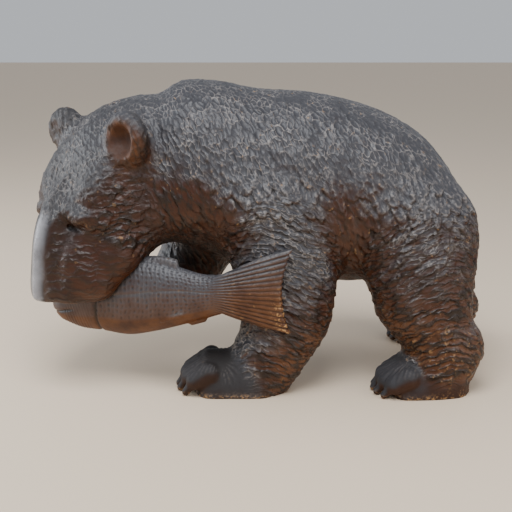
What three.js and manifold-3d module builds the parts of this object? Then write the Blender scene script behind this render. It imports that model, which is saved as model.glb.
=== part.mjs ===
// Carved wooden bear with a salmon held across its mouth, cut from one block of wood.
// Millimetres, +Z up. The bear walks towards -X and its left side faces -Y.
// It stands on three paws; the right forepaw is lifted.

import * as THREE from 'three';
import { mergeVertices } from 'three/addons/utils/BufferGeometryUtils.js';
import Module from 'manifold-3d';

// Skin

const CELL = 3.6;
const BLOCK = 4;
const BELOW_GROUND = 10;
const SKIN_LOW = [-216, -116, -14];
const SKIN_HIGH = [232, 112, 282];
const MOST_FACETS = 9600;
// A crossing keeps this share of its edge from either end, so that no facet is a sliver
const EDGE_SHARE = 0.06;
// A block is far from the surface when its middle is this many blocks away
const FAR_BLOCKS = 1.6;
// While thinning: what a long edge costs, how far a facet may turn, how flat a corner has no nearest point
const LONG_EDGE_COST = 0.004;
const LEAST_TURN = 0.3;
const FLATTEST = 1e-3;
const NEARLY_ZERO = 1e-9;
const THINNEST_END = 0.05;
const GROUND = { low: [-300, -200, -60], high: [300, 200, 0] };

// Widths over which one mass runs into the next

const SOFT = {
  nape: 20,
  throat: 10,
  throatSide: 14,
  underNeck: 16,
  neck: 26,
  leg: 18,
  farArm: 14,
  paw: 8,
  toe: 3,
  claw: 2,
  skull: 12,
  snoutRidge: 4,
  cheek: 10,
  besideSnout: 8,
  lip: 3,
  muzzle: 10,
  browRods: 4,
  brow: 5,
  eye: 5,
  jawRods: 10,
  jaw: 8,
  head: 14,
  ear: 10,
  earBowl: 8,
  finEdge: 2,
  tailRoot: 5,
  bite: 2,
};

// Where parts can matter: left of these places along X, or below this height

const HEAD_ENDS = 0;
const HIND_STARTS = 40;
const SALMON_ENDS = 60;
const HIND_PAW_STARTS = 70;
const PAWS_BELOW = 110;

// Trunk: place along X, top, bottom, half width

const TRUNK = [
  [-95, 252, 150, 50],
  [-65, 266, 130, 60],
  [-40, 264, 115, 66],
  [-15, 261, 102, 70],
  [20, 261, 92, 75],
  [60, 257, 86, 78],
  [100, 247, 86, 78],
  [130, 234, 92, 75],
  [160, 211, 102, 68],
  [182, 181, 106, 60],
  [202, 146, 112, 50],
];
const TRUNK_FRONT_ROUND = 30;
const TRUNK_REAR_ROUND = 30;

// Neck, throat and near side of the neck: centre and radius of each ball

const NECK = [[-45, 0, 198, 64], [-92, -6, 196, 56], [-118, -10, 190, 53]];
const THROAT = [[-100, -12, 146, 28], [-60, -5, 162, 33], [-25, 0, 158, 38]];
const NECK_SIDE = [[-108, -38, 160, 33], [-60, -34, 170, 37], [-20, -36, 172, 42]];

// Legs: height, middle in X, half length, middle in Y, half width

const FORELEG = [
  [-8, -6, 30, -67, 22],
  [26, 11, 35, -65, 27],
  [40, 17.5, 38, -64, 29],
  [54, 24, 39, -63, 30],
  [85, 27, 43, -60, 33],
  [120, 24, 48, -54, 37],
  [160, 18, 54, -46, 41],
  [205, 10, 52, -36, 38],
];
const HINDLEG = [
  [-8, 152, 33, -68, 23],
  [20, 160, 36, -68, 26],
  [40, 166, 37, -66, 28],
  [52, 160, 40, -64, 29],
  [65, 151, 42, -62, 31],
  [85, 147, 45, -58, 35],
  [115, 144, 51, -51, 40],
  [150, 140, 56, -43, 42],
  [195, 130, 52, -32, 38],
];
const LEG_TOP_ROUND = 40;
const LEG_FOOT_ROUND = 8;
const FAR_HIND_SET_BACK = [[0, 28], [60, 22], [110, 4], [150, -8]];
const FAR_ARM = [[-12, 42, 178, 46], [-44, 46, 128, 38], [-65, 34, 90, 29], [-84, 18, 68, 23]];

// Paws

const TOES = 5;
const PAW_SHARES = [0, 0.25, 0.55, 0.85, 1];
const PAW_WIDTHS = [0.8, 0.9, 1, 1, 0.86];
const PAW_HEIGHTS = [0.9, 0.96, 0.94, 0.9, 0.82];
const PAW_HEEL_ROUND = 14;
const PAW_TOE_ROUND = 12;
// Toes and claws: how far each end is in front of the toe line, its share of the paw's height, and its radius
const TOE_INSET = 6;
const TOE_BOW = 7;
const TOE = { knuckle: { out: -8, share: 0.56, radius: 9.2 }, tip: { out: 4, share: 0.36, radius: 8.2 } };
const CLAW = { root: { out: 7, share: 0.28, radius: 4.4 }, point: { out: 13, height: 3.5, radius: 3.2 } };
const FORE_PAW = { heel: [18, -66], toe: [-56, -61], half: 29, height: 38 };
const HIND_PAW = { heel: [190, -67], toe: [118, -71], half: 26, height: 34 };
const FAR_PAW = { heel: [220, -66], toe: [152, -76], half: 26, height: 34 };
const LIFTED_PAW = { middle: [-92, 12, 64], half: [27, 27, 20] };
const LIFTED_TOE = { out: 13, spread: 19, drop: 2, edgeDrop: 2, length: 9, hang: 3, root: 9.5, tip: 9 };
const LIFTED_CLAW = { length: 6, hang: 7, root: 4.4, tip: 3.6 };

// Head: its middle, turned to its left and bowed; the sizes below are forward, sideways and up from there

const HEAD = [-122, -12, 190];
const TURN = 42 * Math.PI / 180;
const BOW = 60 * Math.PI / 180;
const SKULL = [62, 58, 50];
const TEMPLE = { middle: [26, 27, 18], half: [50, 31, 33] };
const SNOUT = [
  [4, 60, -20, 30],
  [36, 64, -20, 30],
  [67, 67, -15, 21],
  [88, 63, -10, 19],
  [109, 54, -2, 18.5],
  [133, 42, 6, 17.5],
  [139, 37, 8, 16],
];
const SNOUT_ROOT_ROUND = 20;
const SNOUT_TIP_ROUND = 10;
// The ridge of the nose: place along the snout and height, and how steeply the bridge falls from it
const BRIDGE = [[4, 46], [30, 50], [50, 56.5], [67, 58], [88, 54], [109, 45.5], [133, 33.5], [140, 29]];
const BRIDGE_FALL = 0.42;
const MUZZLE_SIDE = [[62, 24, 21, 19], [92, 21, 18, 18.5], [117, 17, 13, 15.5]];
const FLEW = [[119, 21, 10, 13], [101, 31, 4, 19.5], [72, 35, -1, 25], [40, 32, -4, 32]];
const FAR_FLEW_INSET = { size: 4, from: 60, to: 110 };
const MUZZLE_UNDERSIDE = 84;
const JAW = [[40, 0, -30, 28], [80, 0, -40, 22], [104, 0, -42, 16]];
const BROW = [[56, 18, 44, 7], [60, 33, 40, 8], [54, 46, 29, 8]];
const FAR_BROW_INSET = 5;
const EYE_HOLLOW = { middle: [68.5, 36, 39], half: [2, 18, 2.2] };
const EAR = { middle: [-17, 51, 40], faces: [0.5, -0.1, 0.85], top: [-0.84, 0.25, 0.48] };
const EAR_LOBE = { middle: [0, 2.5, 0], half: [15, 25.5, 23] };
const EAR_BOWL = { middle: [14, -3, 0], half: [14, 13, 14] };
const FAR_EAR_SCALE = 0.84;
const FAR_BOWL_LIFT = 13;

// Salmon: place along X, middle height, half height, middle in Y, half thickness

const SALMON = [
  [-184, 73, 10, -42, 7],
  [-172, 74, 17, -44, 11],
  [-158, 79, 27, -46.5, 15],
  [-138, 83.7, 33, -51.5, 18],
  [-112, 85.5, 36.5, -58.5, 19],
  [-90, 87, 33, -65, 18],
  [-66, 88, 26, -73, 14],
  [-43, 90, 19.5, -80.5, 10],
  [-29, 93.6, 17, -85.5, 8],
  [-10, 94, 18, -91, 5],
];
const SALMON_NOSE_ROUND = 10;
const SALMON_TAIL_ROUND = 6;
const TAIL = { root: -29, top: 110.6, rise: 0.458, bottom: 76.7, fall: 0.267 };
const TAIL_EDGE = { at: 21.5, hollow: 8.5, middle: 98, half: 38 };
const TAIL_PLANE = { y: -86, lean: 0.21, half: 7.5, taper: 2, span: 58 };

// Fields: each function below is negative inside its mass and close to a distance near its surface

const clamp = (v, low, high) => Math.min(Math.max(v, low), high);

function blend(a, b, k) {
  const h = clamp(0.5 + 0.5 * (b - a) / k, 0, 1);
  return b + (a - b) * h - k * h * (1 - h);
}

const carve = (a, b, k) => -blend(-a, b, k);

const minus = (a, b) => [a[0] - b[0], a[1] - b[1], a[2] - b[2]];
const cross = (a, b) => [a[1] * b[2] - a[2] * b[1], a[2] * b[0] - a[0] * b[2], a[0] * b[1] - a[1] * b[0]];
const dot = (a, b) => a[0] * b[0] + a[1] * b[1] + a[2] * b[2];

// Stations joined by cubics whose slopes come from the neighbouring stations
function track(rows) {
  const chord = (i, c) => (rows[i + 1][c] - rows[i][c]) / (rows[i + 1][0] - rows[i][0]);
  const last = rows.length - 1;
  const slopes = rows.map((row, i) => row.map((value, c) => {
    if (i === 0) return chord(0, c);
    if (i === last) return chord(last - 1, c);
    const before = row[0] - rows[i - 1][0];
    const after = rows[i + 1][0] - row[0];
    return (before * chord(i, c) + after * chord(i - 1, c)) / (before + after);
  }));
  return { rows, slopes, low: rows[0][0], high: rows[last][0] };
}

function along(line, where) {
  const s = clamp(where, line.low, line.high);
  let i = 0;
  while (i < line.rows.length - 2 && s > line.rows[i + 1][0]) i += 1;
  const a = line.rows[i];
  const b = line.rows[i + 1];
  const h = b[0] - a[0];
  const t = (s - a[0]) / h;
  const wa = (1 + 2 * t) * (1 - t) ** 2;
  const wb = t * t * (3 - 2 * t);
  const ua = t * (1 - t) ** 2 * h;
  const ub = t * t * (t - 1) * h;
  return a.map((v, c) => wa * v + wb * b[c] + ua * line.slopes[i][c] + ub * line.slopes[i + 1][c]);
}

function oval(a, b, ra, rb) {
  const k0 = Math.hypot(a / ra, b / rb);
  const k1 = Math.hypot(a / (ra * ra), b / (rb * rb)) + NEARLY_ZERO;
  return k0 * (k0 - 1) / k1;
}

function ellipsoid(p, middle, half) {
  const d = [0, 1, 2].map((i) => (p[i] - middle[i]) / half[i]);
  const k0 = Math.hypot(d[0], d[1], d[2]);
  const k1 = Math.hypot(d[0] / half[0], d[1] / half[1], d[2] / half[2]) + NEARLY_ZERO;
  return k0 * (k0 - 1) / k1;
}

// A rod with round ends whose radius changes steadily
function rod(p, a, b, ra, rb) {
  const ab = minus(b, a);
  const ap = minus(p, a);
  const t = clamp(dot(ap, ab) / dot(ab, ab), 0, 1);
  return Math.hypot(ap[0] - t * ab[0], ap[1] - t * ab[1], ap[2] - t * ab[2]) - ra - (rb - ra) * t;
}

function limb(p, balls, k) {
  let d = Infinity;
  for (let i = 0; i + 1 < balls.length; i += 1) {
    const next = rod(p, balls[i], balls[i + 1], balls[i][3], balls[i + 1][3]);
    d = i === 0 ? next : blend(d, next, k);
  }
  return d;
}

// An oval section carried along s, closing to a round end over the stated lengths
function sweep(line, s, a, b, section, roundLow, roundHigh) {
  const [ca, ra, cb, rb] = section(along(line, s));
  const t = Math.max((line.low + roundLow - s) / roundLow, (s - line.high + roundHigh) / roundHigh, 0);
  const shrink = Math.max(Math.sqrt(Math.max(1 - t * t, 0)), THINNEST_END);
  const d = oval(a - ca, b - cb, ra * shrink, rb * shrink);
  const over = Math.max(line.low - s, s - line.high, 0);
  return over > 0 ? Math.hypot(Math.max(d, 0), over) : d;
}

const trunkLine = track(TRUNK);
const forelegLine = track(FORELEG);
const hindlegLine = track(HINDLEG);
const snoutLine = track(SNOUT);
const bridgeLine = track(BRIDGE);
const salmonLine = track(SALMON);

const legSection = ([, cx, hx, cy, hy]) => [cx, hx, cy, hy];

function trunk(p) {
  const section = ([, top, bottom, half]) => [0, half, (top + bottom) / 2, (top - bottom) / 2];
  return sweep(trunkLine, p[0], p[1], p[2], section, TRUNK_FRONT_ROUND, TRUNK_REAR_ROUND);
}

function neck(p) {
  const under = blend(limb(p, THROAT, SOFT.throat), limb(p, NECK_SIDE, SOFT.throat), SOFT.throatSide);
  return blend(limb(p, NECK, SOFT.nape), under, SOFT.underNeck);
}

function leg(line, p) {
  return sweep(line, p[2], p[0], p[1], legSection, LEG_FOOT_ROUND, LEG_TOP_ROUND);
}

function setBack(z) {
  const steps = FAR_HIND_SET_BACK;
  if (z <= steps[0][0]) return steps[0][1];
  for (let i = 1; i < steps.length; i += 1) {
    if (z > steps[i][0]) continue;
    const t = (z - steps[i - 1][0]) / (steps[i][0] - steps[i - 1][0]);
    return steps[i - 1][1] + t * (steps[i][1] - steps[i - 1][1]);
  }
  return steps[steps.length - 1][1];
}

// The toes of a paw, from -1 at one side to 1 at the other
const toeShares = Array.from({ length: TOES }, (_, i) => 2 * i / (TOES - 1) - 1);

// A paw points along -X; its toes fan across the front and end in claws
function pawLine(size) {
  const length = size.heel[0] - size.toe[0];
  return track(PAW_SHARES.map((share, i) => {
    const across = size.heel[1] + share * (size.toe[1] - size.heel[1]);
    return [share * length, across, PAW_WIDTHS[i] * size.half, PAW_HEIGHTS[i] * size.height];
  }));
}

for (const size of [FORE_PAW, HIND_PAW, FAR_PAW]) size.line = pawLine(size);

function paw(p, size) {
  const section = ([, across, half, height]) => [across, half, 0, height];
  let d = sweep(size.line, size.heel[0] - p[0], p[1], p[2], section, PAW_HEEL_ROUND, PAW_TOE_ROUND);
  for (const t of toeShares) {
    const x = size.toe[0] + TOE_BOW * t * t;
    const y = size.toe[1] + t * (size.half - TOE_INSET);
    const at = (end) => [x - end.out, y, end.share * size.height];
    const point = [x - CLAW.point.out, y, CLAW.point.height];
    d = blend(d, rod(p, at(TOE.knuckle), at(TOE.tip), TOE.knuckle.radius, TOE.tip.radius), SOFT.toe);
    d = blend(d, rod(p, at(CLAW.root), point, CLAW.root.radius, CLAW.point.radius), SOFT.claw);
  }
  return d;
}

function liftedPaw(p) {
  const [mx, my, mz] = LIFTED_PAW.middle;
  let d = ellipsoid(p, LIFTED_PAW.middle, LIFTED_PAW.half);
  for (const t of toeShares) {
    const low = LIFTED_TOE.drop + LIFTED_TOE.edgeDrop * Math.abs(t);
    const root = [mx - LIFTED_TOE.out, my + LIFTED_TOE.spread * t, mz - low];
    const tip = [root[0] - LIFTED_TOE.length, root[1], root[2] - LIFTED_TOE.hang];
    const point = [tip[0] - LIFTED_CLAW.length, tip[1], tip[2] - LIFTED_CLAW.hang];
    d = blend(d, rod(p, root, tip, LIFTED_TOE.root, LIFTED_TOE.tip), SOFT.toe);
    d = blend(d, rod(p, tip, point, LIFTED_CLAW.root, LIFTED_CLAW.tip), SOFT.claw);
  }
  return d;
}

const forward = new THREE.Vector3(-Math.cos(TURN), -Math.sin(TURN), -Math.tan(BOW)).normalize();
const sideways = new THREE.Vector3(Math.sin(TURN), -Math.cos(TURN), 0);
const upward = new THREE.Vector3().crossVectors(forward, sideways);

function inHead(p) {
  const d = new THREE.Vector3(p[0] - HEAD[0], p[1] - HEAD[1], p[2] - HEAD[2]);
  return [d.dot(forward), d.dot(sideways), d.dot(upward)];
}

// Oval sections, planed off by two sloping faces that meet in the ridge of the nose
function snout(s, a, b) {
  const section = ([, top, bottom, half]) => [0, half, (top + bottom) / 2, (top - bottom) / 2];
  const body = sweep(snoutLine, s, a, b, section, SNOUT_ROOT_ROUND, SNOUT_TIP_ROUND);
  const ridge = along(bridgeLine, s)[1];
  const roof = (b - ridge + BRIDGE_FALL * Math.abs(a)) / Math.hypot(1, BRIDGE_FALL);
  return carve(body, -roof, SOFT.snoutRidge);
}

function head(p) {
  const [s, a, b] = inHead(p);
  const q = [s, Math.abs(a), b];
  const skull = blend(ellipsoid(q, [0, 0, 0], SKULL), ellipsoid(q, TEMPLE.middle, TEMPLE.half), SOFT.skull);
  const flews = blend(limb(q, MUZZLE_SIDE, SOFT.cheek), limb(q, FLEW, SOFT.cheek), SOFT.cheek);
  const inset = THREE.MathUtils.smoothstep(s, FAR_FLEW_INSET.from, FAR_FLEW_INSET.to) * FAR_FLEW_INSET.size;
  const lips = blend(snout(s, a, b), a < 0 ? flews + inset : flews, SOFT.besideSnout);
  const muzzle = carve(lips, p[2] - MUZZLE_UNDERSIDE, SOFT.lip);
  let d = blend(skull, muzzle, SOFT.muzzle);
  d = blend(d, limb(q, BROW, SOFT.browRods) + (a < 0 ? FAR_BROW_INSET : 0), SOFT.brow);
  d = carve(d, ellipsoid(q, EYE_HOLLOW.middle, EYE_HOLLOW.half), SOFT.eye);
  return blend(d, limb(q, JAW, SOFT.jawRods), SOFT.jaw);
}

const earOut = new THREE.Vector3(...EAR.faces).normalize();
const earTop = new THREE.Vector3(...EAR.top);
earTop.addScaledVector(earOut, -earTop.dot(earOut)).normalize();
const earSide = new THREE.Vector3().crossVectors(earOut, earTop);

function ears(p) {
  const [s, a, b] = inHead(p);
  const scale = a > 0 ? 1 : FAR_EAR_SCALE;
  const d = new THREE.Vector3(s - EAR.middle[0], Math.abs(a) - EAR.middle[1], b - EAR.middle[2]);
  const q = [d.dot(earOut) / scale, d.dot(earSide) / scale, d.dot(earTop) / scale];
  const lobe = ellipsoid(q, EAR_LOBE.middle, EAR_LOBE.half);
  const fromBowl = a > 0 ? q : [q[0] - FAR_BOWL_LIFT, q[1], q[2]];
  return scale * carve(lobe, ellipsoid(fromBowl, EAR_BOWL.middle, EAR_BOWL.half), SOFT.earBowl);
}

function salmon(p) {
  const [x, y, z] = p;
  const section = ([, cz, hz, cy, hy]) => [cz, hz, cy, hy];
  const body = sweep(salmonLine, x, z, y, section, SALMON_NOSE_ROUND, SALMON_TAIL_ROUND);
  const out = x - TAIL.root;
  const above = z - TAIL.top - TAIL.rise * out;
  const below = TAIL.bottom - TAIL.fall * out - z;
  const behind = x - TAIL_EDGE.at - TAIL_EDGE.hollow * ((z - TAIL_EDGE.middle) / TAIL_EDGE.half) ** 2;
  const half = TAIL_PLANE.half - TAIL_PLANE.taper * clamp(out / TAIL_PLANE.span, 0, 1);
  const aside = Math.abs(y - TAIL_PLANE.y + TAIL_PLANE.lean * out) - half;
  const fin = carve(Math.max(above, below, behind, -out), -aside, SOFT.finEdge);
  return blend(body, fin, SOFT.tailRoot);
}

function bear(p) {
  const mirrored = [p[0], -p[1], p[2]];
  const farHind = [p[0] - setBack(p[2]), -p[1], p[2]];
  let d = blend(trunk(p), neck(p), SOFT.neck);
  d = blend(d, leg(forelegLine, p), SOFT.leg);
  if (p[0] > HIND_STARTS) {
    d = blend(d, leg(hindlegLine, p), SOFT.leg);
    d = blend(d, leg(hindlegLine, farHind), SOFT.leg);
  } else {
    d = blend(d, limb(p, FAR_ARM, SOFT.farArm), SOFT.leg);
  }
  if (p[0] < HEAD_ENDS) {
    d = blend(d, head(p), SOFT.head);
    d = blend(d, ears(p), SOFT.ear);
  }
  if (p[2] > PAWS_BELOW) return d;
  if (p[0] > HIND_PAW_STARTS) {
    d = blend(d, paw(p, HIND_PAW), SOFT.paw);
    return blend(d, paw(mirrored, FAR_PAW), SOFT.paw);
  }
  d = blend(d, paw(p, FORE_PAW), SOFT.paw);
  return blend(d, liftedPaw(p), SOFT.paw);
}

function whole(p) {
  const d = p[0] < SALMON_ENDS ? blend(bear(p), salmon(p), SOFT.bite) : bear(p);
  return Math.max(d, -BELOW_GROUND - p[2]);
}

// A closed skin of the field: each cell is split into six tetrahedra, and each one gives up to two facets
const SPLIT = [[0, 1, 3, 7], [0, 1, 5, 7], [0, 2, 3, 7], [0, 2, 6, 7], [0, 4, 5, 7], [0, 4, 6, 7]];

function skin(field, low, high, cell) {
  const n = low.map((v, i) => BLOCK * Math.ceil((high[i] - v) / cell / BLOCK) + 1);
  const step = [1, n[0], n[0] * n[1]];
  const value = sample(field, low, cell, n);
  const corner = [0, 1, 2, 3, 4, 5, 6, 7].map((c) => (c & 1) + ((c >> 1) & 1) * step[1] + (c >> 2) * step[2]);
  const grid = (at) => [at % n[0], Math.floor(at / step[1]) % n[1], Math.floor(at / step[2])];
  const known = new Map();
  const points = [];
  const faces = [];
  const crossing = (a, b) => {
    const key = Math.min(a, b) * value.length + Math.max(a, b);
    if (known.has(key)) return known.get(key);
    const t = clamp(value[a] / (value[a] - value[b]), EDGE_SHARE, 1 - EDGE_SHARE);
    const from = grid(a);
    const to = grid(b);
    points.push(from.map((v, i) => low[i] + cell * (v + t * (to[i] - v))));
    known.set(key, points.length - 1);
    return points.length - 1;
  };
  const facet = (a, b, c, inner) => {
    const [p, q, r] = [points[a], points[b], points[c]];
    const core = grid(inner).map((v, i) => low[i] + cell * v);
    const out = dot(cross(minus(q, p), minus(r, p)), minus(p, core)) > 0;
    faces.push(out ? [a, b, c] : [a, c, b]);
  };
  for (let k = 0; k < n[2] - 1; k += 1) {
    for (let j = 0; j < n[1] - 1; j += 1) {
      for (let i = 0; i < n[0] - 1; i += 1) {
        const at = i + j * step[1] + k * step[2];
        const held = corner.filter((c) => value[at + c] < 0).length;
        if (held === 0 || held === 8) continue;
        for (const split of SPLIT) {
          const corners = split.map((c) => at + corner[c]);
          const inner = corners.filter((c) => value[c] < 0);
          const outer = corners.filter((c) => value[c] >= 0);
          if (inner.length === 0 || outer.length === 0) continue;
          if (inner.length === 2) {
            const [a, b] = inner;
            const [c, d] = outer;
            facet(crossing(a, c), crossing(a, d), crossing(b, d), a);
            facet(crossing(a, c), crossing(b, d), crossing(b, c), b);
          } else if (inner.length === 1) {
            facet(...outer.map((c) => crossing(inner[0], c)), inner[0]);
          } else {
            facet(...inner.map((c) => crossing(c, outer[0])), inner[0]);
          }
        }
      }
    }
  }
  return { points, faces };
}

// The field's value at each grid point; a block of cells far from the surface takes its middle's value
function sample(field, low, cell, n) {
  const value = new Float64Array(n[0] * n[1] * n[2]);
  const far = FAR_BLOCKS * BLOCK * cell;
  for (let k = 0; k < n[2]; k += BLOCK) {
    for (let j = 0; j < n[1]; j += BLOCK) {
      for (let i = 0; i < n[0]; i += BLOCK) {
        const core = field([i, j, k].map((v, c) => low[c] + cell * (v + BLOCK / 2)));
        const solve = Math.abs(core) < far;
        for (let at = 0; at < BLOCK ** 3; at += 1) {
          const c = [i + at % BLOCK, j + Math.floor(at / BLOCK) % BLOCK, k + Math.floor(at / BLOCK ** 2)];
          if (c.some((v, axis) => v >= n[axis])) continue;
          const d = solve ? field(c.map((v, axis) => low[axis] + cell * v)) : core;
          value[c[0] + n[0] * (c[1] + n[1] * c[2])] = d;
        }
      }
    }
  }
  return value;
}

// The sum of squared distances from a point to a set of planes, kept as ten coefficients
function planeSum(normal, offset, weight) {
  const [a, b, c] = normal;
  const d = offset;
  return [a * a, a * b, a * c, a * d, b * b, b * c, b * d, c * c, c * d, d * d].map((v) => v * weight);
}

function strayFrom(q, [x, y, z]) {
  return q[0] * x * x + 2 * q[1] * x * y + 2 * q[2] * x * z + 2 * q[3] * x
    + q[4] * y * y + 2 * q[5] * y * z + 2 * q[6] * y + q[7] * z * z + 2 * q[8] * z + q[9];
}

function nearestTo(q) {
  const det = q[0] * (q[4] * q[7] - q[5] * q[5]) - q[1] * (q[1] * q[7] - q[5] * q[2])
    + q[2] * (q[1] * q[5] - q[4] * q[2]);
  if (Math.abs(det) < FLATTEST * (q[0] + q[4] + q[7]) ** 3) return null;
  const r = [-q[3], -q[6], -q[8]];
  const x = r[0] * (q[4] * q[7] - q[5] * q[5]) - q[1] * (r[1] * q[7] - q[5] * r[2])
    + q[2] * (r[1] * q[5] - q[4] * r[2]);
  const y = q[0] * (r[1] * q[7] - r[2] * q[5]) - r[0] * (q[1] * q[7] - q[5] * q[2])
    + q[2] * (q[1] * r[2] - r[1] * q[2]);
  const z = q[0] * (q[4] * r[2] - q[5] * r[1]) - q[1] * (q[1] * r[2] - r[1] * q[2])
    + r[0] * (q[1] * q[5] - q[4] * q[2]);
  return [x / det, y / det, z / det];
}

// The stamp of a point that has been joined to another
const GONE = -1e9;

// Joins the two ends of the edge that changes the shape least, again and again, down to the stated facets
function thin(points, faces, most) {
  const around = points.map(() => new Set());
  const sums = points.map(() => new Array(10).fill(0));
  const stamp = new Int32Array(points.length);
  const gone = new Uint8Array(faces.length);
  faces.forEach((face, f) => {
    const [a, b, c] = face.map((i) => points[i]);
    const n = cross(minus(b, a), minus(c, a));
    const size = Math.hypot(...n) || NEARLY_ZERO;
    const unit = n.map((v) => v / size);
    const part = planeSum(unit, -dot(unit, a), size);
    face.forEach((i) => {
      around[i].add(f);
      part.forEach((v, k) => { sums[i][k] += v; });
    });
  });
  const ring = (i) => {
    const near = new Set();
    around[i].forEach((f) => faces[f].forEach((k) => near.add(k)));
    near.delete(i);
    return near;
  };
  const heap = [];
  const swap = (a, b) => { [heap[a], heap[b]] = [heap[b], heap[a]]; };
  const push = (item) => {
    heap.push(item);
    let i = heap.length - 1;
    while (i > 0 && heap[(i - 1) >> 1].cost > heap[i].cost) {
      swap(i, (i - 1) >> 1);
      i = (i - 1) >> 1;
    }
  };
  const pop = () => {
    swap(0, heap.length - 1);
    const item = heap.pop();
    for (let i = 0; ;) {
      let least = i;
      if (2 * i + 1 < heap.length && heap[2 * i + 1].cost < heap[least].cost) least = 2 * i + 1;
      if (2 * i + 2 < heap.length && heap[2 * i + 2].cost < heap[least].cost) least = 2 * i + 2;
      if (least === i) return item;
      swap(i, least);
      i = least;
    }
  };
  const offer = (a, b) => {
    const sum = sums[a].map((v, k) => v + sums[b][k]);
    const half = points[a].map((v, k) => (v + points[b][k]) / 2);
    const long = Math.hypot(...minus(points[a], points[b]));
    let place = nearestTo(sum);
    if (!place || Math.hypot(...minus(place, half)) > long) place = half;
    const cost = strayFrom(sum, place) + LONG_EDGE_COST * long ** 4;
    push({ cost, a, b, place, sum, stamps: stamp[a] + stamp[b] });
  };
  const turns = (i, other, place) => {
    for (const f of around[i]) {
      if (faces[f].includes(other)) continue;
      const before = faces[f].map((k) => points[k]);
      const after = faces[f].map((k) => (k === i ? place : points[k]));
      const n0 = cross(minus(before[1], before[0]), minus(before[2], before[0]));
      const n1 = cross(minus(after[1], after[0]), minus(after[2], after[0]));
      if (dot(n0, n1) < LEAST_TURN * Math.hypot(...n0) * Math.hypot(...n1)) return true;
    }
    return false;
  };
  points.forEach((_, i) => ring(i).forEach((k) => { if (i < k) offer(i, k); }));
  let left = faces.length;
  while (left > most && heap.length > 0) {
    const { a, b, place, sum, stamps } = pop();
    if (stamps !== stamp[a] + stamp[b] || stamp[a] < 0 || stamp[b] < 0) continue;
    const near = ring(b);
    const shared = [...ring(a)].filter((k) => near.has(k));
    if (shared.length !== 2 || turns(a, b, place) || turns(b, a, place)) continue;
    for (const f of around[b]) {
      if (faces[f].includes(a)) {
        gone[f] = 1;
        left -= 1;
        faces[f].forEach((k) => { if (k !== b) around[k].delete(f); });
      } else {
        faces[f] = faces[f].map((k) => (k === b ? a : k));
        around[a].add(f);
      }
    }
    around[b].clear();
    stamp[b] = GONE;
    stamp[a] += 1;
    points[a] = place;
    sums[a] = sum;
    ring(a).forEach((k) => offer(a, k));
  }
  return faces.filter((_, f) => !gone[f]);
}

const wasm = await Module();
wasm.setup();

function solidFrom(points, faces) {
  const vertProperties = new Float32Array(points.flat());
  const triVerts = new Uint32Array(faces.flat());
  const mesh = new wasm.Mesh({ numProp: 3, vertProperties, triVerts });
  mesh.merge();
  return new wasm.Manifold(mesh);
}

function blockSolid(low, high) {
  const size = minus(high, low);
  const block = new THREE.BoxGeometry(...size);
  block.translate(...low.map((v, i) => v + size[i] / 2));
  block.deleteAttribute('normal');
  block.deleteAttribute('uv');
  const joined = mergeVertices(block);
  const at = joined.getAttribute('position').array;
  const points = [];
  for (let i = 0; i < at.length; i += 3) points.push([at[i], at[i + 1], at[i + 2]]);
  return solidFrom(points, [[...joined.index.array]]);
}

const coat = skin(whole, SKIN_LOW, SKIN_HIGH, CELL);
const facets = thin(coat.points, coat.faces, MOST_FACETS);
const used = [...new Set(facets.flat())];
const place = new Map(used.map((old, now) => [old, now]));
const carving = solidFrom(used.map((i) => coat.points[i]), facets.map((f) => f.map((i) => place.get(i))));

// The soles are cut flat by the ground
const ground = blockSolid(GROUND.low, GROUND.high);
const cut = carving.subtract(ground).getMesh();

const geometry = new THREE.BufferGeometry();
geometry.setAttribute('position', new THREE.BufferAttribute(new Float32Array(cut.vertProperties), 3));
geometry.setIndex(new THREE.BufferAttribute(new Uint32Array(cut.triVerts), 1));

// The origin stands on the ground under the middle of the bear's box
geometry.computeBoundingBox();
const middle = geometry.boundingBox.getCenter(new THREE.Vector3());
geometry.translate(-middle.x, -middle.y, 0);
geometry.computeVertexNormals();

const stain = new THREE.MeshStandardMaterial({ color: 0x3c3430, roughness: 0.48, metalness: 0 });
const group = new THREE.Group();
const carvedBear = new THREE.Mesh(geometry, stain);
carvedBear.name = 'carved_bear';
group.add(carvedBear);

export default group;
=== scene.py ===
# %% [markdown]
# # A carved wooden bear with a salmon in its jaws
# The bear is cut from one block of wood, stained almost black, and left as the gouge leaves it: every lock
# of its coat is one short scoop. This lesson builds that surface around the imported CAD solid, which gives
# the place and the size of everything. First the frame is loaded.

import bmesh
import bpy
import numpy as np
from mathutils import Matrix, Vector


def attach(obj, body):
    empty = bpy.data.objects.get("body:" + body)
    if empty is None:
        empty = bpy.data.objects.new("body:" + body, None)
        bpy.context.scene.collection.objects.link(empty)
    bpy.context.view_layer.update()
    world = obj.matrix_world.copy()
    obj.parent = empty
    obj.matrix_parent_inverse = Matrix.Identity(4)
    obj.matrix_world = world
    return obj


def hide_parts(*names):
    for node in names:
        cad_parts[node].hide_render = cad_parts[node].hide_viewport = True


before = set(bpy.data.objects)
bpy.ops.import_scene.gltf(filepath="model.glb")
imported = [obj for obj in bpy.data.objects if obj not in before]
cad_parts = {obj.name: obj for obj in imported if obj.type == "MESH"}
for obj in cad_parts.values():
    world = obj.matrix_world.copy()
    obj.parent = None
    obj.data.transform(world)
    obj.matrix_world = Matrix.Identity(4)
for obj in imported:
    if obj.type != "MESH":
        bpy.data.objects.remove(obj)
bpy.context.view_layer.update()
MM = 0.001
# The CAD solid was centred on its own box: this is its origin in the carver's own millimetres.
ORIGIN = np.array([13.319, 1.059, 0.0])

# %% [markdown]
# ## The camera
# The photograph looks at the bear's left side from a little above. The camera could be set by eye, but here
# it is stated as a person would: how far away it stands, how high it looks from and where it points.

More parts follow.
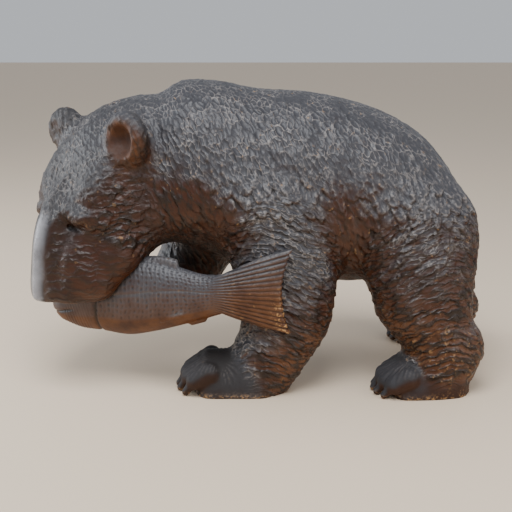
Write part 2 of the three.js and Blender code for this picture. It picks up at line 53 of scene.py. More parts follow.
# %% Camera
AIM = np.array([0.0, 0.0, 106.0])
CAMERA_AWAY = 912.0
CAMERA_RISE = np.radians(14.0)
LENS = 68.2


def to_frame(points):
    """Carver's millimetres to metres in the CAD frame: take the origin away and scale."""
    return (np.asarray(points, float) - ORIGIN) * MM


def look_from(name, data, place, aim):
    """Makes a camera or lamp object that stands at place and points its -Z axis at aim."""
    obj = bpy.data.objects.new(name, data)
    bpy.context.collection.objects.link(obj)
    obj.location = to_frame(place)
    obj.rotation_euler = Vector(to_frame(aim) - to_frame(place)).to_track_quat("-Z", "Y").to_euler()
    return obj


camera_data = bpy.data.cameras.new("camera")
camera_data.lens = LENS
camera_data.sensor_width = 36.0
stand = AIM + CAMERA_AWAY * np.array([0.0, -np.cos(CAMERA_RISE), np.sin(CAMERA_RISE)])
bpy.context.scene.camera = look_from("camera", camera_data, stand, AIM)
print("camera at", np.round(to_frame(stand), 3))

# %% [markdown]
# ## Shapes as distances
# A carved animal has no edges to trace, so each muscle is described by a distance: a function that is
# negative inside the wood, zero on its surface and positive outside. Distances can be blended, which rounds
# the join as a carver would, and cut out of each other. The alternative, a box modelled by hand, would need
# every vertex placed. These helpers take whole arrays of points.

# %% Distance helpers
TINY = 1e-9
FAR_AWAY = 200.0
TRACK_STEPS = 300
# The least share to which a swept section shrinks at its ends.
LEAST_SECTION = 0.05


def smooth(low, high, value):
    """Goes from 0 at low to 1 at high along an S-shaped curve, 3t^2 - 2t^3."""
    t = np.clip((value - low) / (high - low), 0.0, 1.0)
    return t * t * (3.0 - 2.0 * t)


def blend(a, b, soft):
    """The nearer of two distances, with the crease between them filled over the width soft."""
    h = np.clip(0.5 + 0.5 * (b - a) / soft, 0.0, 1.0)
    return b + (a - b) * h - soft * h * (1.0 - h)


def carve(a, b, soft):
    """Distance a with the shape of distance b cut out of it, the rim rounded over soft."""
    return -blend(-a, b, soft)


def track(s, stations, values):
    """A smooth curve through (station, value) pairs: cubic Hermite pieces, slopes from the neighbours."""
    k = np.asarray(stations, float)
    f = np.asarray(values, float)
    slope = np.gradient(f, k)
    fine = np.linspace(k[0], k[-1], TRACK_STEPS)
    i = np.clip(np.searchsorted(k, fine) - 1, 0, len(k) - 2)
    step = k[i + 1] - k[i]
    t = (fine - k[i]) / step
    curve = ((1 + 2 * t) * (1 - t) ** 2 * f[i] + t * (1 - t) ** 2 * step * slope[i]
             + t * t * (3 - 2 * t) * f[i + 1] + t * t * (t - 1) * step * slope[i + 1])
    return np.interp(s, fine, curve)


def between(rows, at):
    """Straight lines through (place, value) rows, read at the places given."""
    place, value = np.array(rows, float).T
    return np.interp(at, place, value)


def unit(vectors):
    """Vectors made one long."""
    return vectors / np.maximum(np.linalg.norm(vectors, axis=1, keepdims=True), TINY)


def oval(a, b, half_a, half_b):
    """Nearly the distance to an ellipse: its level k0 over the length of the level's slope."""
    k0 = np.sqrt((a / half_a) ** 2 + (b / half_b) ** 2)
    k1 = np.sqrt((a / half_a ** 2) ** 2 + (b / half_b ** 2) ** 2) + TINY
    return k0 * (k0 - 1.0) / k1


# %% Solids as distances
def ellipsoid(p, middle, half):
    """Nearly the distance to an ellipsoid, by the same rule as oval."""
    d = (p - np.asarray(middle)) / np.asarray(half)
    k0 = np.sqrt((d ** 2).sum(1))
    k1 = np.sqrt(((d / np.asarray(half)) ** 2).sum(1)) + TINY
    return k0 * (k0 - 1.0) / k1


def rod(p, a, b):
    """Distance to a rod between two (x, y, z, radius) ends: the gap to the axis less the radius there."""
    a, b = np.asarray(a, float), np.asarray(b, float)
    axis = b[:3] - a[:3]
    t = np.clip((p - a[:3]) @ axis / (axis @ axis), 0.0, 1.0)
    gap = p - a[:3] - t[:, None] * axis
    return np.sqrt((gap ** 2).sum(1)) - (a[3] + (b[3] - a[3]) * t)


def limb(p, joints, soft):
    """Rods joined end to end, blended at each joint."""
    d = rod(p, joints[0], joints[1])
    for a, b in zip(joints[1:-1], joints[2:]):
        d = blend(d, rod(p, a, b), soft)
    return d


def sweep(s, a, b, table, round_low, round_high):
    """An oval section carried along s. Table columns: s, middle and half size in a, middle and half in b.
    Over the rounding lengths at its ends the section shrinks as a quarter circle."""
    k, mid_a, half_a, mid_b, half_b = np.asarray(table, float).T
    t = np.maximum((k[0] + round_low - s) / round_low, (s - k[-1] + round_high) / round_high)
    shrink = np.maximum(np.sqrt(np.maximum(1.0 - np.maximum(t, 0.0) ** 2, 0.0)), LEAST_SECTION)
    d = oval(a - track(s, k, mid_a), b - track(s, k, mid_b),
             track(s, k, half_a) * shrink, track(s, k, half_b) * shrink)
    over = np.maximum(np.maximum(k[0] - s, s - k[-1]), 0.0)
    return np.where(over > 0, np.sqrt(np.maximum(d, 0.0) ** 2 + over ** 2), d)


def inside_only(p, here, field):
    """Works a field out only for the points marked here. Elsewhere it is far away."""
    d = np.full(len(p), FAR_AWAY)
    if here.any():
        d[here] = field(p[here])
    return d


# %% [markdown]
# ## The bear's body
# The sizes below are the CAD part's own, in the carver's millimetres: the bear walks towards -X, its left
# side faces -Y and the ground is Z = 0. The trunk is a row of oval sections, the legs are rows of sections
# stacked upwards, and the raised far foreleg is a chain of rods that hides behind the salmon.

# %% Trunk, neck and legs
# Each trunk row: place along X, top, bottom, half width.
TRUNK = [
    (-95, 252, 150, 50), (-65, 266, 130, 60), (-40, 264, 115, 66), (-15, 261, 102, 70),
    (20, 261, 92, 75), (60, 257, 86, 78), (100, 247, 86, 78), (130, 234, 92, 75),
    (160, 211, 102, 68), (182, 181, 106, 60), (202, 146, 112, 50)]
TRUNK_ENDS = (30, 30)
# Each row of a chain of rods: x, y, z, radius.
NECK = [(-45, 0, 198, 64), (-92, -6, 196, 56), (-118, -10, 190, 53)]
THROAT = [(-100, -12, 146, 28), (-60, -5, 162, 33), (-25, 0, 158, 38)]
NECK_SIDE = [(-108, -38, 160, 33), (-60, -34, 170, 37), (-20, -36, 172, 42)]
FAR_ARM = [(-12, 42, 178, 46), (-44, 46, 128, 38), (-65, 34, 90, 29), (-84, 18, 68, 23)]
# How softly the rods of each chain join, then the throat with the neck's side, and both with the nape.
NAPE_SOFT, THROAT_SOFT, ARM_SOFT = 20, 10, 14
UNDER_SOFT, NECK_SOFT = 14, 16
# Each leg row: height, middle and half size along X, middle and half size across.
FORELEG = [
    (-8, -6, 30, -67, 22), (26, 11, 35, -65, 27), (40, 17.5, 38, -64, 29), (54, 24, 39, -63, 30),
    (85, 27, 43, -60, 33), (120, 24, 48, -54, 37), (160, 18, 54, -46, 41), (205, 10, 52, -36, 38)]
HINDLEG = [
    (-8, 152, 33, -68, 23), (20, 160, 36, -68, 26), (40, 166, 37, -66, 28), (52, 160, 40, -64, 29),
    (65, 151, 42, -62, 31), (85, 147, 45, -58, 35), (115, 144, 51, -51, 40), (150, 140, 56, -43, 42),
    (195, 130, 52, -32, 38)]
LEG_ENDS = (8, 40)
# Each row: height, how far back the far hind leg stands at it.
FAR_HIND_SET_BACK = [(0, 28), (60, 22), (110, 4), (150, -8)]


def upright_sections(rows):
    """Sweep's table from rows of place, top, bottom and half width, all in the middle plane."""
    place, top, bottom, half = np.asarray(rows, float).T
    return np.stack([place, 0 * place, half, (top + bottom) / 2, (top - bottom) / 2], 1)


def mirrored(p):
    """The same points seen from the far side: Y changes sign."""
    return p * np.array([1.0, -1.0, 1.0])


def trunk(p):
    """Oval sections along X."""
    return sweep(*p.T, upright_sections(TRUNK), *TRUNK_ENDS)


def neck(p):
    """Nape, throat and near side of the neck, each a chain of rods."""
    under = blend(limb(p, THROAT, THROAT_SOFT), limb(p, NECK_SIDE, THROAT_SOFT), UNDER_SOFT)
    return blend(limb(p, NECK, NAPE_SOFT), under, NECK_SOFT)


def leg(p, sections):
    """Oval sections stacked in Z."""
    return sweep(p[:, 2], p[:, 0], p[:, 1], sections, *LEG_ENDS)


def far_hindleg(p):
    """The near hind leg on the far side, each height of it moved back along X."""
    q = mirrored(p)
    q[:, 0] -= between(FAR_HIND_SET_BACK, p[:, 2])
    return leg(q, HINDLEG)


print("trunk from", TRUNK[0][0], "to", TRUNK[-1][0], "mm along X")

# %% [markdown]
# ## Paws
# A standing paw is a low flat-soled dome with five toes, each a short rod with a claw. The toes are worked
# out from one rule, a share of the paw's width, so that all paws match. The lifted paw hangs, with no flat
# sole.

# %% Paws
PAW_SHARES = np.array([0.0, 0.25, 0.55, 0.85, 1.0])
PAW_WIDTHS = np.array([0.8, 0.9, 1.0, 1.0, 0.86])
PAW_HEIGHTS = np.array([0.9, 0.96, 0.94, 0.9, 0.82])
PAW_ENDS = (14, 12)
# Each paw: heel (x, y), toe line (x, y), half width, height.
FORE_PAW = ((18, -66), (-56, -61), 29, 38)
HIND_PAW = ((190, -67), (118, -71), 26, 34)
FAR_HIND_PAW = ((220, -66), (152, -76), 26, 34)
TOES = np.linspace(-1.0, 1.0, 5)
# The outer toes stand back from the toe line by the bow, and in from the paw's side by the inset.
TOE_BOW, TOE_INSET = 7, 6
# Knuckle, tip and root of the claw: place behind the toe line, share of the paw's height, radius.
TOE_RODS = [(8, 0.56, 9.2), (-4, 0.36, 8.2), (-7, 0.28, 4.4)]
# The claw's point: place behind the toe line, height in millimetres, radius.
CLAW_POINT = (-13, 3.5, 3.2)
TOE_SOFT, CLAW_SOFT = 3, 2
LIFTED_PAW = np.array([-92.0, 12.0, 64.0])
LIFTED_HALF = (27, 27, 20)
# From the lifted paw's middle to a knuckle: ahead, to the side for the outer toes, and down.
LIFTED_AHEAD, LIFTED_SPREAD, LIFTED_DROP = 13, 19, 2
LIFTED_TOE = (-9, 0, -3)
LIFTED_CLAW = (-6, 0, -7)


def paw(p, heel, toe, half, height):
    """A dome from heel to toe, five toe rods blended on and a claw on each."""
    length = heel[0] - toe[0]
    flat = 0 * PAW_SHARES
    across = heel[1] + (toe[1] - heel[1]) * np.arange(5) / 4
    table = np.stack([PAW_SHARES * length, across, PAW_WIDTHS * half, flat, PAW_HEIGHTS * height], 1)
    d = sweep(heel[0] - p[:, 0], p[:, 1], p[:, 2], table, *PAW_ENDS)
    for t in TOES:
        x, y = toe[0] + TOE_BOW * t * t, toe[1] + t * (half - TOE_INSET)
        knuckle, tip, root = [(x + back, y, share * height, radius) for back, share, radius in TOE_RODS]
        point = (x + CLAW_POINT[0], y, *CLAW_POINT[1:])
        d = blend(blend(d, rod(p, knuckle, tip), TOE_SOFT), rod(p, root, point), CLAW_SOFT)
    return d


def lifted_paw(p):
    """An ellipsoid with five hanging toes and claws."""
    d = ellipsoid(p, LIFTED_PAW, LIFTED_HALF)
    for t in TOES:
        root = LIFTED_PAW + (-LIFTED_AHEAD, LIFTED_SPREAD * t, -LIFTED_DROP * (1 + abs(t)))
        tip = root + LIFTED_TOE
        point = tip + LIFTED_CLAW
        d = blend(d, rod(p, (*root, 9.5), (*tip, 9)), TOE_SOFT)
        d = blend(d, rod(p, (*tip, 4.4), (*point, 3.6)), CLAW_SOFT)
    return d


print("toes per paw:", len(TOES))

# %% [markdown]
# ## The head
# The head is turned towards the viewer and bowed over the fish. Its shapes are stated in its own axes:
# forward along the muzzle, sideways to the near cheek and up through the forehead. Skull and temples carry
# the brow ridges, a narrow hollow under each brow stands for the eye, and the flews hang over the fish with
# a flat lower edge.

# %% Head
HEAD = np.array([-122.0, -12.0, 190.0])
HEAD_TURN = np.radians(42.0)
HEAD_BOW = np.radians(60.0)
FORWARD = np.array([-np.cos(HEAD_BOW) * np.cos(HEAD_TURN), -np.cos(HEAD_BOW) * np.sin(HEAD_TURN),
                    -np.sin(HEAD_BOW)])
SIDEWAYS = np.array([np.sin(HEAD_TURN), -np.cos(HEAD_TURN), 0.0])
UPWARD = np.cross(FORWARD, SIDEWAYS)
HEAD_AXES = np.stack([FORWARD, SIDEWAYS, UPWARD])
# Ellipsoids as middle and half size.
SKULL = ((0, 0, 0), (62, 58, 50))
TEMPLE = ((26, 27, 18), (50, 31, 33))
EYE_HOLLOW = ((68.5, 36, 39), (2.0, 18, 2.2))
# Each snout row: place along the muzzle, top, bottom, half width.
SNOUT = [
    (4, 60, -20, 30), (36, 64, -20, 30), (67, 67, -15, 21), (88, 63, -10, 19), (109, 54, -2, 18.5),
    (133, 42, 6, 17.5), (139, 37, 8, 16)]
SNOUT_ENDS = (20, 10)
# The ridge of the nose, as (place along the muzzle, height), and how steeply the bridge falls from it.
BRIDGE = [(4, 46), (30, 50), (50, 56.5), (67, 58), (88, 54), (109, 45.5), (133, 33.5), (140, 29)]
BRIDGE_FALL = 0.42
# Chains of rods on one side of the head: forward, sideways, up, radius.
MUZZLE_SIDE = [(62, 24, 21, 19), (92, 21, 18, 18.5), (117, 17, 13, 15.5)]
FLEW = [(119, 21, 10, 13), (101, 31, 4, 19.5), (72, 35, -1, 25), (40, 32, -4, 32)]
BROW = [(56, 18, 44, 7), (60, 33, 40, 8), (54, 46, 29, 8)]
JAW = [(40, 0, -30, 28), (80, 0, -40, 22), (104, 0, -42, 16)]
LIP_HEIGHT = 84.0
# On the far side the flew, growing over this stretch of the muzzle, and the brow stand a little further in.
FAR_FLEW_INSET, FLEW_INSET_GROWS = 4.0, (60, 110)
FAR_BROW_INSET = 5.0
HEAD_JOIN = {"temple": 12, "bridge": 4, "flesh": 10, "cheek": 8, "lip": 3, "muzzle": 10,
             "brow_rods": 4, "brow": 5, "eye": 5, "jaw": 8}


def in_head(p):
    """Points in the head's axes: forward, sideways (near side positive), up."""
    return (p - HEAD) @ HEAD_AXES.T


def folded(q):
    """Both halves of the head on one side: sideways becomes its size."""
    return np.stack([q[:, 0], np.abs(q[:, 1]), q[:, 2]], 1)


def snout(q):
    """Oval sections along the muzzle, planed off by two sloping faces that meet in the ridge of the nose."""
    along, across, up = q.T
    ridge_height = track(along, *np.array(BRIDGE, float).T)
    roof = (up - ridge_height + BRIDGE_FALL * np.abs(across)) / np.hypot(1.0, BRIDGE_FALL)
    tube = sweep(along, across, up, upright_sections(SNOUT), *SNOUT_ENDS)
    return -blend(-tube, -roof, HEAD_JOIN["bridge"])


def head(p):
    """Skull, temples, muzzle with its flat lip, brows with the hollow of the eye under them, and jaw."""
    q = in_head(p)
    f = folded(q)
    far = q[:, 1] < 0
    soft = HEAD_JOIN
    skull = blend(ellipsoid(f, *SKULL), ellipsoid(f, *TEMPLE), soft["temple"])
    inset = np.where(far, FAR_FLEW_INSET, 0.0) * smooth(*FLEW_INSET_GROWS, q[:, 0])
    side, flew, jaw = [limb(f, rods, soft["flesh"]) for rods in (MUZZLE_SIDE, FLEW, JAW)]
    cheeks = blend(side, flew, soft["flesh"]) + inset
    muzzle = carve(blend(snout(q), cheeks, soft["cheek"]), p[:, 2] - LIP_HEIGHT, soft["lip"])
    brow = limb(f, BROW, soft["brow_rods"]) + np.where(far, FAR_BROW_INSET, 0.0)
    d = blend(blend(skull, muzzle, soft["muzzle"]), brow, soft["brow"])
    d = carve(d, ellipsoid(f, *EYE_HOLLOW), soft["eye"])
    return blend(d, jaw, soft["jaw"])


print("muzzle points to", np.round(FORWARD, 2))

# %% Ears
EAR = np.array([-17.0, 51.0, 40.0])
EAR_FACES = np.array([0.5, -0.1, 0.85])
EAR_TOP = np.array([-0.84, 0.25, 0.48])
EAR_LOBE = ((0, 2.5, 0), (15, 25.5, 23))
EAR_BOWL = ((14, -3, 0), (14, 13, 14))
EAR_SOFT = 8
FAR_EAR_SIZE = 0.84
FAR_BOWL_LIFT = 13.0


def in_ear(p):
    """Points in an ear's axes: the way it faces, across it and up it. The far ear is a smaller copy."""
    q = in_head(p)
    faces = EAR_FACES / np.linalg.norm(EAR_FACES)
    top = EAR_TOP - (EAR_TOP @ faces) * faces
    top /= np.linalg.norm(top)
    size = np.where(q[:, 1] > 0, 1.0, FAR_EAR_SIZE)
    axes = np.stack([faces, np.cross(faces, top), top])
    return (folded(q) - EAR) @ axes.T / size[:, None], size


def ears(p):
    """A thick round lobe with a bowl cut into the face of it, shallower on the far ear."""
    r, size = in_ear(p)
    shallow = np.where(size < 1.0, FAR_BOWL_LIFT, 0.0)
    bowl = ellipsoid(r - shallow[:, None] * np.array([1.0, 0.0, 0.0]), *EAR_BOWL)
    return carve(ellipsoid(r, *EAR_LOBE), bowl, EAR_SOFT) * size


print("far ear's size as a share of the near one's:", FAR_EAR_SIZE)

# %% [markdown]
# ## The whole bear
# Each part is only worked out where it can matter, then blended on. The ground cuts everything flat, so the
# soles lie on it. The distances of the single parts are kept as well: later they tell which part a point of
# the surface belongs to.

# %% Whole bear
EVER = np.inf
LOW_DOWN = 110
NECK_REACH, NECK_JOIN = 60, 26
# Each part: places along X and heights between which it can matter, how softly it joins, its distance.
PARTS = {
    "foreleg": (-90, 130, -EVER, EVER, 18, lambda q: leg(q, FORELEG)),
    "hindleg": (40, EVER, -EVER, EVER, 18, lambda q: leg(q, HINDLEG)),
    "far_hindleg": (40, EVER, -EVER, EVER, 18, far_hindleg),
    "far_arm": (-EVER, 90, -EVER, EVER, 18, lambda q: limb(q, FAR_ARM, ARM_SOFT)),
    "head": (-EVER, 0, -EVER, EVER, 14, head),
    "ears": (-EVER, 0, 120, EVER, 10, ears),
    "fore_paw": (-EVER, 70, -EVER, LOW_DOWN, 8, lambda q: paw(q, *FORE_PAW)),
    "hind_paw": (60, EVER, -EVER, LOW_DOWN, 8, lambda q: paw(q, *HIND_PAW)),
    "far_hind_paw": (60, EVER, -EVER, LOW_DOWN, 8, lambda q: paw(mirrored(q), *FAR_HIND_PAW)),
    "lifted_paw": (-EVER, 20, -EVER, LOW_DOWN, 8, lifted_paw),
}


def bear_parts(p):
    """The distance of each part at the points, by name."""
    x, z = p[:, 0], p[:, 2]
    parts = {"trunk": blend(trunk(p), inside_only(p, x < NECK_REACH, neck), NECK_JOIN)}
    for name, (front, back, bottom, top, _, distance) in PARTS.items():
        parts[name] = inside_only(p, (x > front) & (x < back) & (z > bottom) & (z < top), distance)
    return parts


def bear(p):
    """All parts blended on in turn, cut flat at the ground."""
    parts = bear_parts(p)
    d = parts["trunk"]
    for name, (_, _, _, _, soft, _) in PARTS.items():
        d = blend(d, parts[name], soft)
    return np.maximum(d, -p[:, 2])


print("parts of the bear:", len(PARTS) + 1)

# %% [markdown]
# ## A skin on the distances
# To get a mesh, space is divided into small cubes. A cube whose corners are partly inside gets one vertex,
# at the mean of the points where its edges cross the surface, and every edge that crosses joins its four
# cubes in a quad. This is known as surface nets. Only cubes near the surface are worked out, found on a
# coarse grid.

# %% Distances on a grid
CELL = 1.15
# A coarse cell is this many cells wide, and the surface is looked for this many coarse cells away.
COARSE, NEAR = 4, 2.0
BATCH = 400000
LOW_CORNER = np.array([-216.0, -116.0, -6.0])
HIGH_CORNER = np.array([234.0, 114.0, 284.0])
CORNERS = [(i, j, k) for i in (0, 1) for j in (0, 1) for k in (0, 1)]


def corner_views(grid):
    """The eight corner values of every cube, as shifted views of the grid."""
    n = grid.shape
    return [grid[i:n[0] - 1 + i, j:n[1] - 1 + j, k:n[2] - 1 + k] for i, j, k in CORNERS]


def enlarged(grid):
    """Every value of a grid, repeated for each fine cell of its coarse cell."""
    return grid.repeat(COARSE, 0).repeat(COARSE, 1).repeat(COARSE, 2)


def sampled(field, low, high, cell):
    """The field on a grid: exact near the surface, and the coarse grid's value elsewhere."""
    wide = cell * COARSE
    count = np.ceil((high - low) / wide).astype(int) + 1
    ticks = [low[a] + wide * np.arange(count[a]) for a in range(3)]
    places = np.stack(np.meshgrid(*ticks, indexing="ij"), -1)
    coarse = field(places.reshape(-1, 3)).reshape(count).astype(np.float32)
    near = np.logical_or.reduce(corner_views(np.abs(coarse) < NEAR * wide))
    fine = (count - 1) * COARSE + 1
    value = enlarged(coarse)[:fine[0], :fine[1], :fine[2]].copy()
    block = enlarged(near)
    wanted = np.zeros(fine, bool)
    wanted[:-1, :-1, :-1] |= block
    wanted[1:, 1:, 1:] |= block
    at = np.argwhere(wanted)
    exact = np.empty(len(at), np.float32)
    for part in np.array_split(np.arange(len(at)), max(1, len(at) // BATCH)):
        exact[part] = field(low + cell * at[part])
    value[tuple(at.T)] = exact
    return value


distances = sampled(bear, LOW_CORNER, HIGH_CORNER, CELL)
print("grid of", " x ".join(str(n) for n in distances.shape), "distances")

# %% Skin
AXES = np.eye(3, dtype=int)
# The four cubes around an edge, as steps back along the two other axes.
RING = ((1, 1), (0, 1), (0, 0), (1, 0))


def surface_nets(value, low, cell):
    """One vertex per crossed cube, at the mean of its edge crossings, and one quad per crossed edge."""
    inside = value < 0
    corners = np.sum([v.astype(np.uint8) for v in corner_views(inside)], 0)
    cubes = np.argwhere((corners > 0) & (corners < 8))
    number = np.full(corners.shape, -1, np.int64)
    number[tuple(cubes.T)] = np.arange(len(cubes))
    total = np.zeros((len(cubes), 3))
    crossings = np.zeros(len(cubes))
    for axis, along in enumerate(AXES):
        for corner in CORNERS:
            if corner[axis]:
                continue
            a = value[tuple((cubes + corner).T)]
            b = value[tuple((cubes + corner + along).T)]
            crosses = (a < 0) != (b < 0)
            share = np.where(crosses, a / np.where(crosses, a - b, 1.0), 0.0)
            total += (corner + share[:, None] * along) * crosses[:, None]
            crossings += crosses
    vertices = low + cell * (cubes + total / crossings[:, None])
    quads = []
    for axis, along in enumerate(AXES):
        one, two = AXES[[(axis + 1) % 3, (axis + 2) % 3]]
        first = inside[tuple(slice(0, -1) if a == axis else slice(1, -1) for a in range(3))]
        second = inside[tuple(slice(1, None) if a == axis else slice(1, -1) for a in range(3))]
        edges = np.argwhere(first != second) + (1 - along)
        ring = np.stack([number[tuple((edges - one * i - two * j).T)] for i, j in RING], 1)
        outward = inside[tuple(edges.T)]
        ring[~outward] = ring[~outward][:, ::-1]
        quads.append(ring)
    return vertices, np.concatenate(quads)


def slope_of(field, p, reach=0.4):
    """The unit direction in which a field grows fastest, from four samples on a tetrahedron."""
    arms = np.array([[1, -1, -1], [-1, -1, 1], [-1, 1, -1], [1, 1, 1]], float)
    return unit(sum(field(p + reach * arm)[:, None] * arm for arm in arms))


skin, quads = surface_nets(distances, LOW_CORNER, CELL)
outward = slope_of(bear, skin)
skin = skin - outward * np.clip(bear(skin), -CELL, CELL)[:, None]
print("skin:", len(skin), "vertices,", len(quads), "quads")

# %% [markdown]
# ## Which part is where
# A coat that lies well needs to know what it grows on. Every point of the skin gets a weight for each part,
# close to one where it is on that part's own surface and falling off within a few millimetres.

# %% Part weights
WEIGHT_FADE = 5.0
ALL_PAWS = ("fore_paw", "hind_paw", "far_hind_paw", "lifted_paw")
MUZZLE_BEGINS = (58, 84)
# In the ear's axes: from outside the bowl's rim to inside it, up out of the bowl, and up to the ear's face.
BOWL_RIM, BOWL_BOTTOM, EAR_FRONT = (17.0, 13.0), (-8.0, -3.0), (-6.0, 5.0)
weight = {name: np.exp(-np.maximum(d, 0.0) / WEIGHT_FADE) for name, d in bear_parts(skin).items()}
forward, sideways, upward = in_head(skin).T
x, y, z = skin.T
paws = np.maximum.reduce([weight[name] for name in ALL_PAWS])
on_paw = smooth(0.3, 0.8, paws)
muzzle = weight["head"] * smooth(*MUZZLE_BEGINS, forward)
on_ear = in_ear(skin)[0]
near_ear = weight["ears"] * (sideways > 0)
bowl_reach = smooth(*BOWL_RIM, np.hypot(on_ear[:, 1] - EAR_BOWL[0][1], on_ear[:, 2]))
ear_bowl = near_ear * smooth(*BOWL_BOTTOM, on_ear[:, 0]) * bowl_reach
ear_face = near_ear * smooth(*EAR_FRONT, on_ear[:, 0])
print("head vertices:", int((weight["head"] > 0.5).sum()), "paw vertices:", int((paws > 0.5).sum()))

# %% [markdown]
# ## The way the coat lies
# Hair runs back from the brow, down and back over the flank, and on each leg it parts along a line down the
# outside and sweeps to both sides. The direction at each point is a sum of such simple flows, weighted by
# part, laid into the surface by taking away what points through it.

# %% Flow of the coat
# Each parting row: height, place along X.
FORELEG_PARTING = [(30, 0.0), (100, 2.0), (170, 6.0), (220, 6.0)]
HINDLEG_PARTING = [(20, 172.0), (70, 168.0), (130, 166.0), (190, 150.0)]
FORE_PARTING_WIDTH, HIND_PARTING_WIDTH = 14, 16
# Flow at a parting: outwards, downwards, and how much more it falls on the line itself.
PARTING_OUT, PARTING_DOWN, LINE_DOWN = 1.15, 0.62, 0.35
# Flow on the trunk: backwards, and outwards where it is this wide. On the head: outwards and backwards.
BODY_BACK, BODY_OUT, BODY_HALF = 0.5, 1.1, 60
HEAD_OUT, HEAD_HALF, HEAD_BACK = 0.9, 40, np.array([0.35, 0, 0])
# Heights at which the legs' flow sets in, and places along X at which the head's does.
FORELEG_BEGINS, HINDLEG_BEGINS, HEAD_BEGINS = (205, 150), (185, 140), (60, -20)


def parted(p, parting, width):
    """Sideways flow on the outside of a leg: away from the parting line, and downwards."""
    away = np.tanh((p[:, 0] - between(parting, p[:, 2])) / width)
    return np.stack([PARTING_OUT * away, 0 * away, -PARTING_DOWN - LINE_DOWN * (1 - np.abs(away))], 1)


def laid(direction, normal):
    """A direction laid into the surface: the part along the normal is taken away, the rest made one long."""
    return unit(direction - (direction * normal).sum(1, keepdims=True) * normal)


one = np.ones(len(skin))
outer_face = smooth(0.05, 0.5, np.abs(outward[:, 1]))
body_flow = np.stack([BODY_BACK * one, BODY_OUT * np.clip(y / BODY_HALF, -1, 1), -one], 1)
head_flow = -FORWARD + HEAD_OUT * SIDEWAYS * np.clip(sideways / HEAD_HALF, -1, 1)[:, None] + HEAD_BACK
hindlegs = np.maximum(weight["hindleg"], weight["far_hindleg"])
fore_share = (weight["foreleg"] * smooth(*FORELEG_BEGINS, z) * outer_face)[:, None]
hind_share = (hindlegs * smooth(*HINDLEG_BEGINS, z) * outer_face)[:, None]
head_share = (np.maximum(weight["head"], weight["ears"]) * smooth(*HEAD_BEGINS, x))[:, None]
flow = body_flow * (1 - fore_share) + parted(skin, FORELEG_PARTING, FORE_PARTING_WIDTH) * fore_share
flow = flow * (1 - hind_share) + parted(skin, HINDLEG_PARTING, HIND_PARTING_WIDTH) * hind_share
flow = laid(flow * (1 - head_share) + head_flow * head_share, outward)
print("flow laid on", len(flow), "vertices")

# %% Places along the strands
MID_BODY = 75.0
NECK_PLACE = -60.0
STRAND_FALL = 0.54
PARTING_WIDTH = 12.0
HEAD_STRAND_RISE = 0.8


def strand_places(p):
    """Places along the strands of hair, in mm: across them, along them, and through them. On a leg the
    strands leave the parting and fall STRAND_FALL for each unit outwards, on the head they run level."""
    x, y, z = p.T
    fore = x < MID_BODY
    parting = np.where(fore, between(FORELEG_PARTING, z), between(HINDLEG_PARTING, z))
    parting += np.where(~fore & (y > 0), between(FAR_HIND_SET_BACK, z), 0.0)
    out = np.hypot(x - parting, PARTING_WIDTH)
    slant = np.hypot(1.0, STRAND_FALL)
    on_leg = np.stack([STRAND_FALL * out + z, out - STRAND_FALL * z, y * slant], 1) / slant
    on_head = np.stack([HEAD_STRAND_RISE * z, x, y], 1)
    return np.where((x < NECK_PLACE)[:, None], on_head, on_leg)


strand_place = strand_places(skin)
print("strands reach", round(float(np.ptp(strand_place[:, 1]))), "mm along their length")

# %% [markdown]
# ## Locks and gouge cuts
# The carver first blocks out locks of hair that overlap like tiles, each rising to a tip that stands over
# the next. Then every lock is gone over with short pushes of a gouge that bite in steeply and rise out
# again, so sharp ridges are left between the cuts. Painting this in a texture would leave the outline
# smooth, so both are real relief. Locks and cuts are spread with a least spacing, each gets its own frame
# from the flow, and a point of the skin keeps the highest lock and the deepest cut that reach it.

# %% Spreading marks
dice = np.random.default_rng(7)
AROUND = [(i, j, k) for i in (-1, 0, 1) for j in (-1, 0, 1) for k in (-1, 0, 1)]
# Cells of space are numbered in one row: a step in X is CELL_ROW squared, a step in Y is CELL_ROW.
CELL_SHIFT, CELL_ROW = 500, 1000
MARK_BATCH = 4000
OPEN, PICKED, DROPPED = 0, 1, 2


def neighbours(points, seats, reach):
    """All (seat number, point number) pairs within a cell of each other, one block of cells at a time."""
    cells = np.floor(points / reach).astype(np.int64) + CELL_SHIFT
    key = (cells[:, 0] * CELL_ROW + cells[:, 1]) * CELL_ROW + cells[:, 2]
    order = np.argsort(key)
    sorted_key = key[order]
    for i, j, k in AROUND:
        wanted = key[seats] + (i * CELL_ROW + j) * CELL_ROW + k
        start = np.searchsorted(sorted_key, wanted)
        count = np.searchsorted(sorted_key, wanted, "right") - start
        seat = np.repeat(np.arange(len(seats)), count)
        first = np.repeat(start - np.concatenate([[0], np.cumsum(count)[:-1]]), count)
        yield seat, order[first + np.arange(len(seat))]


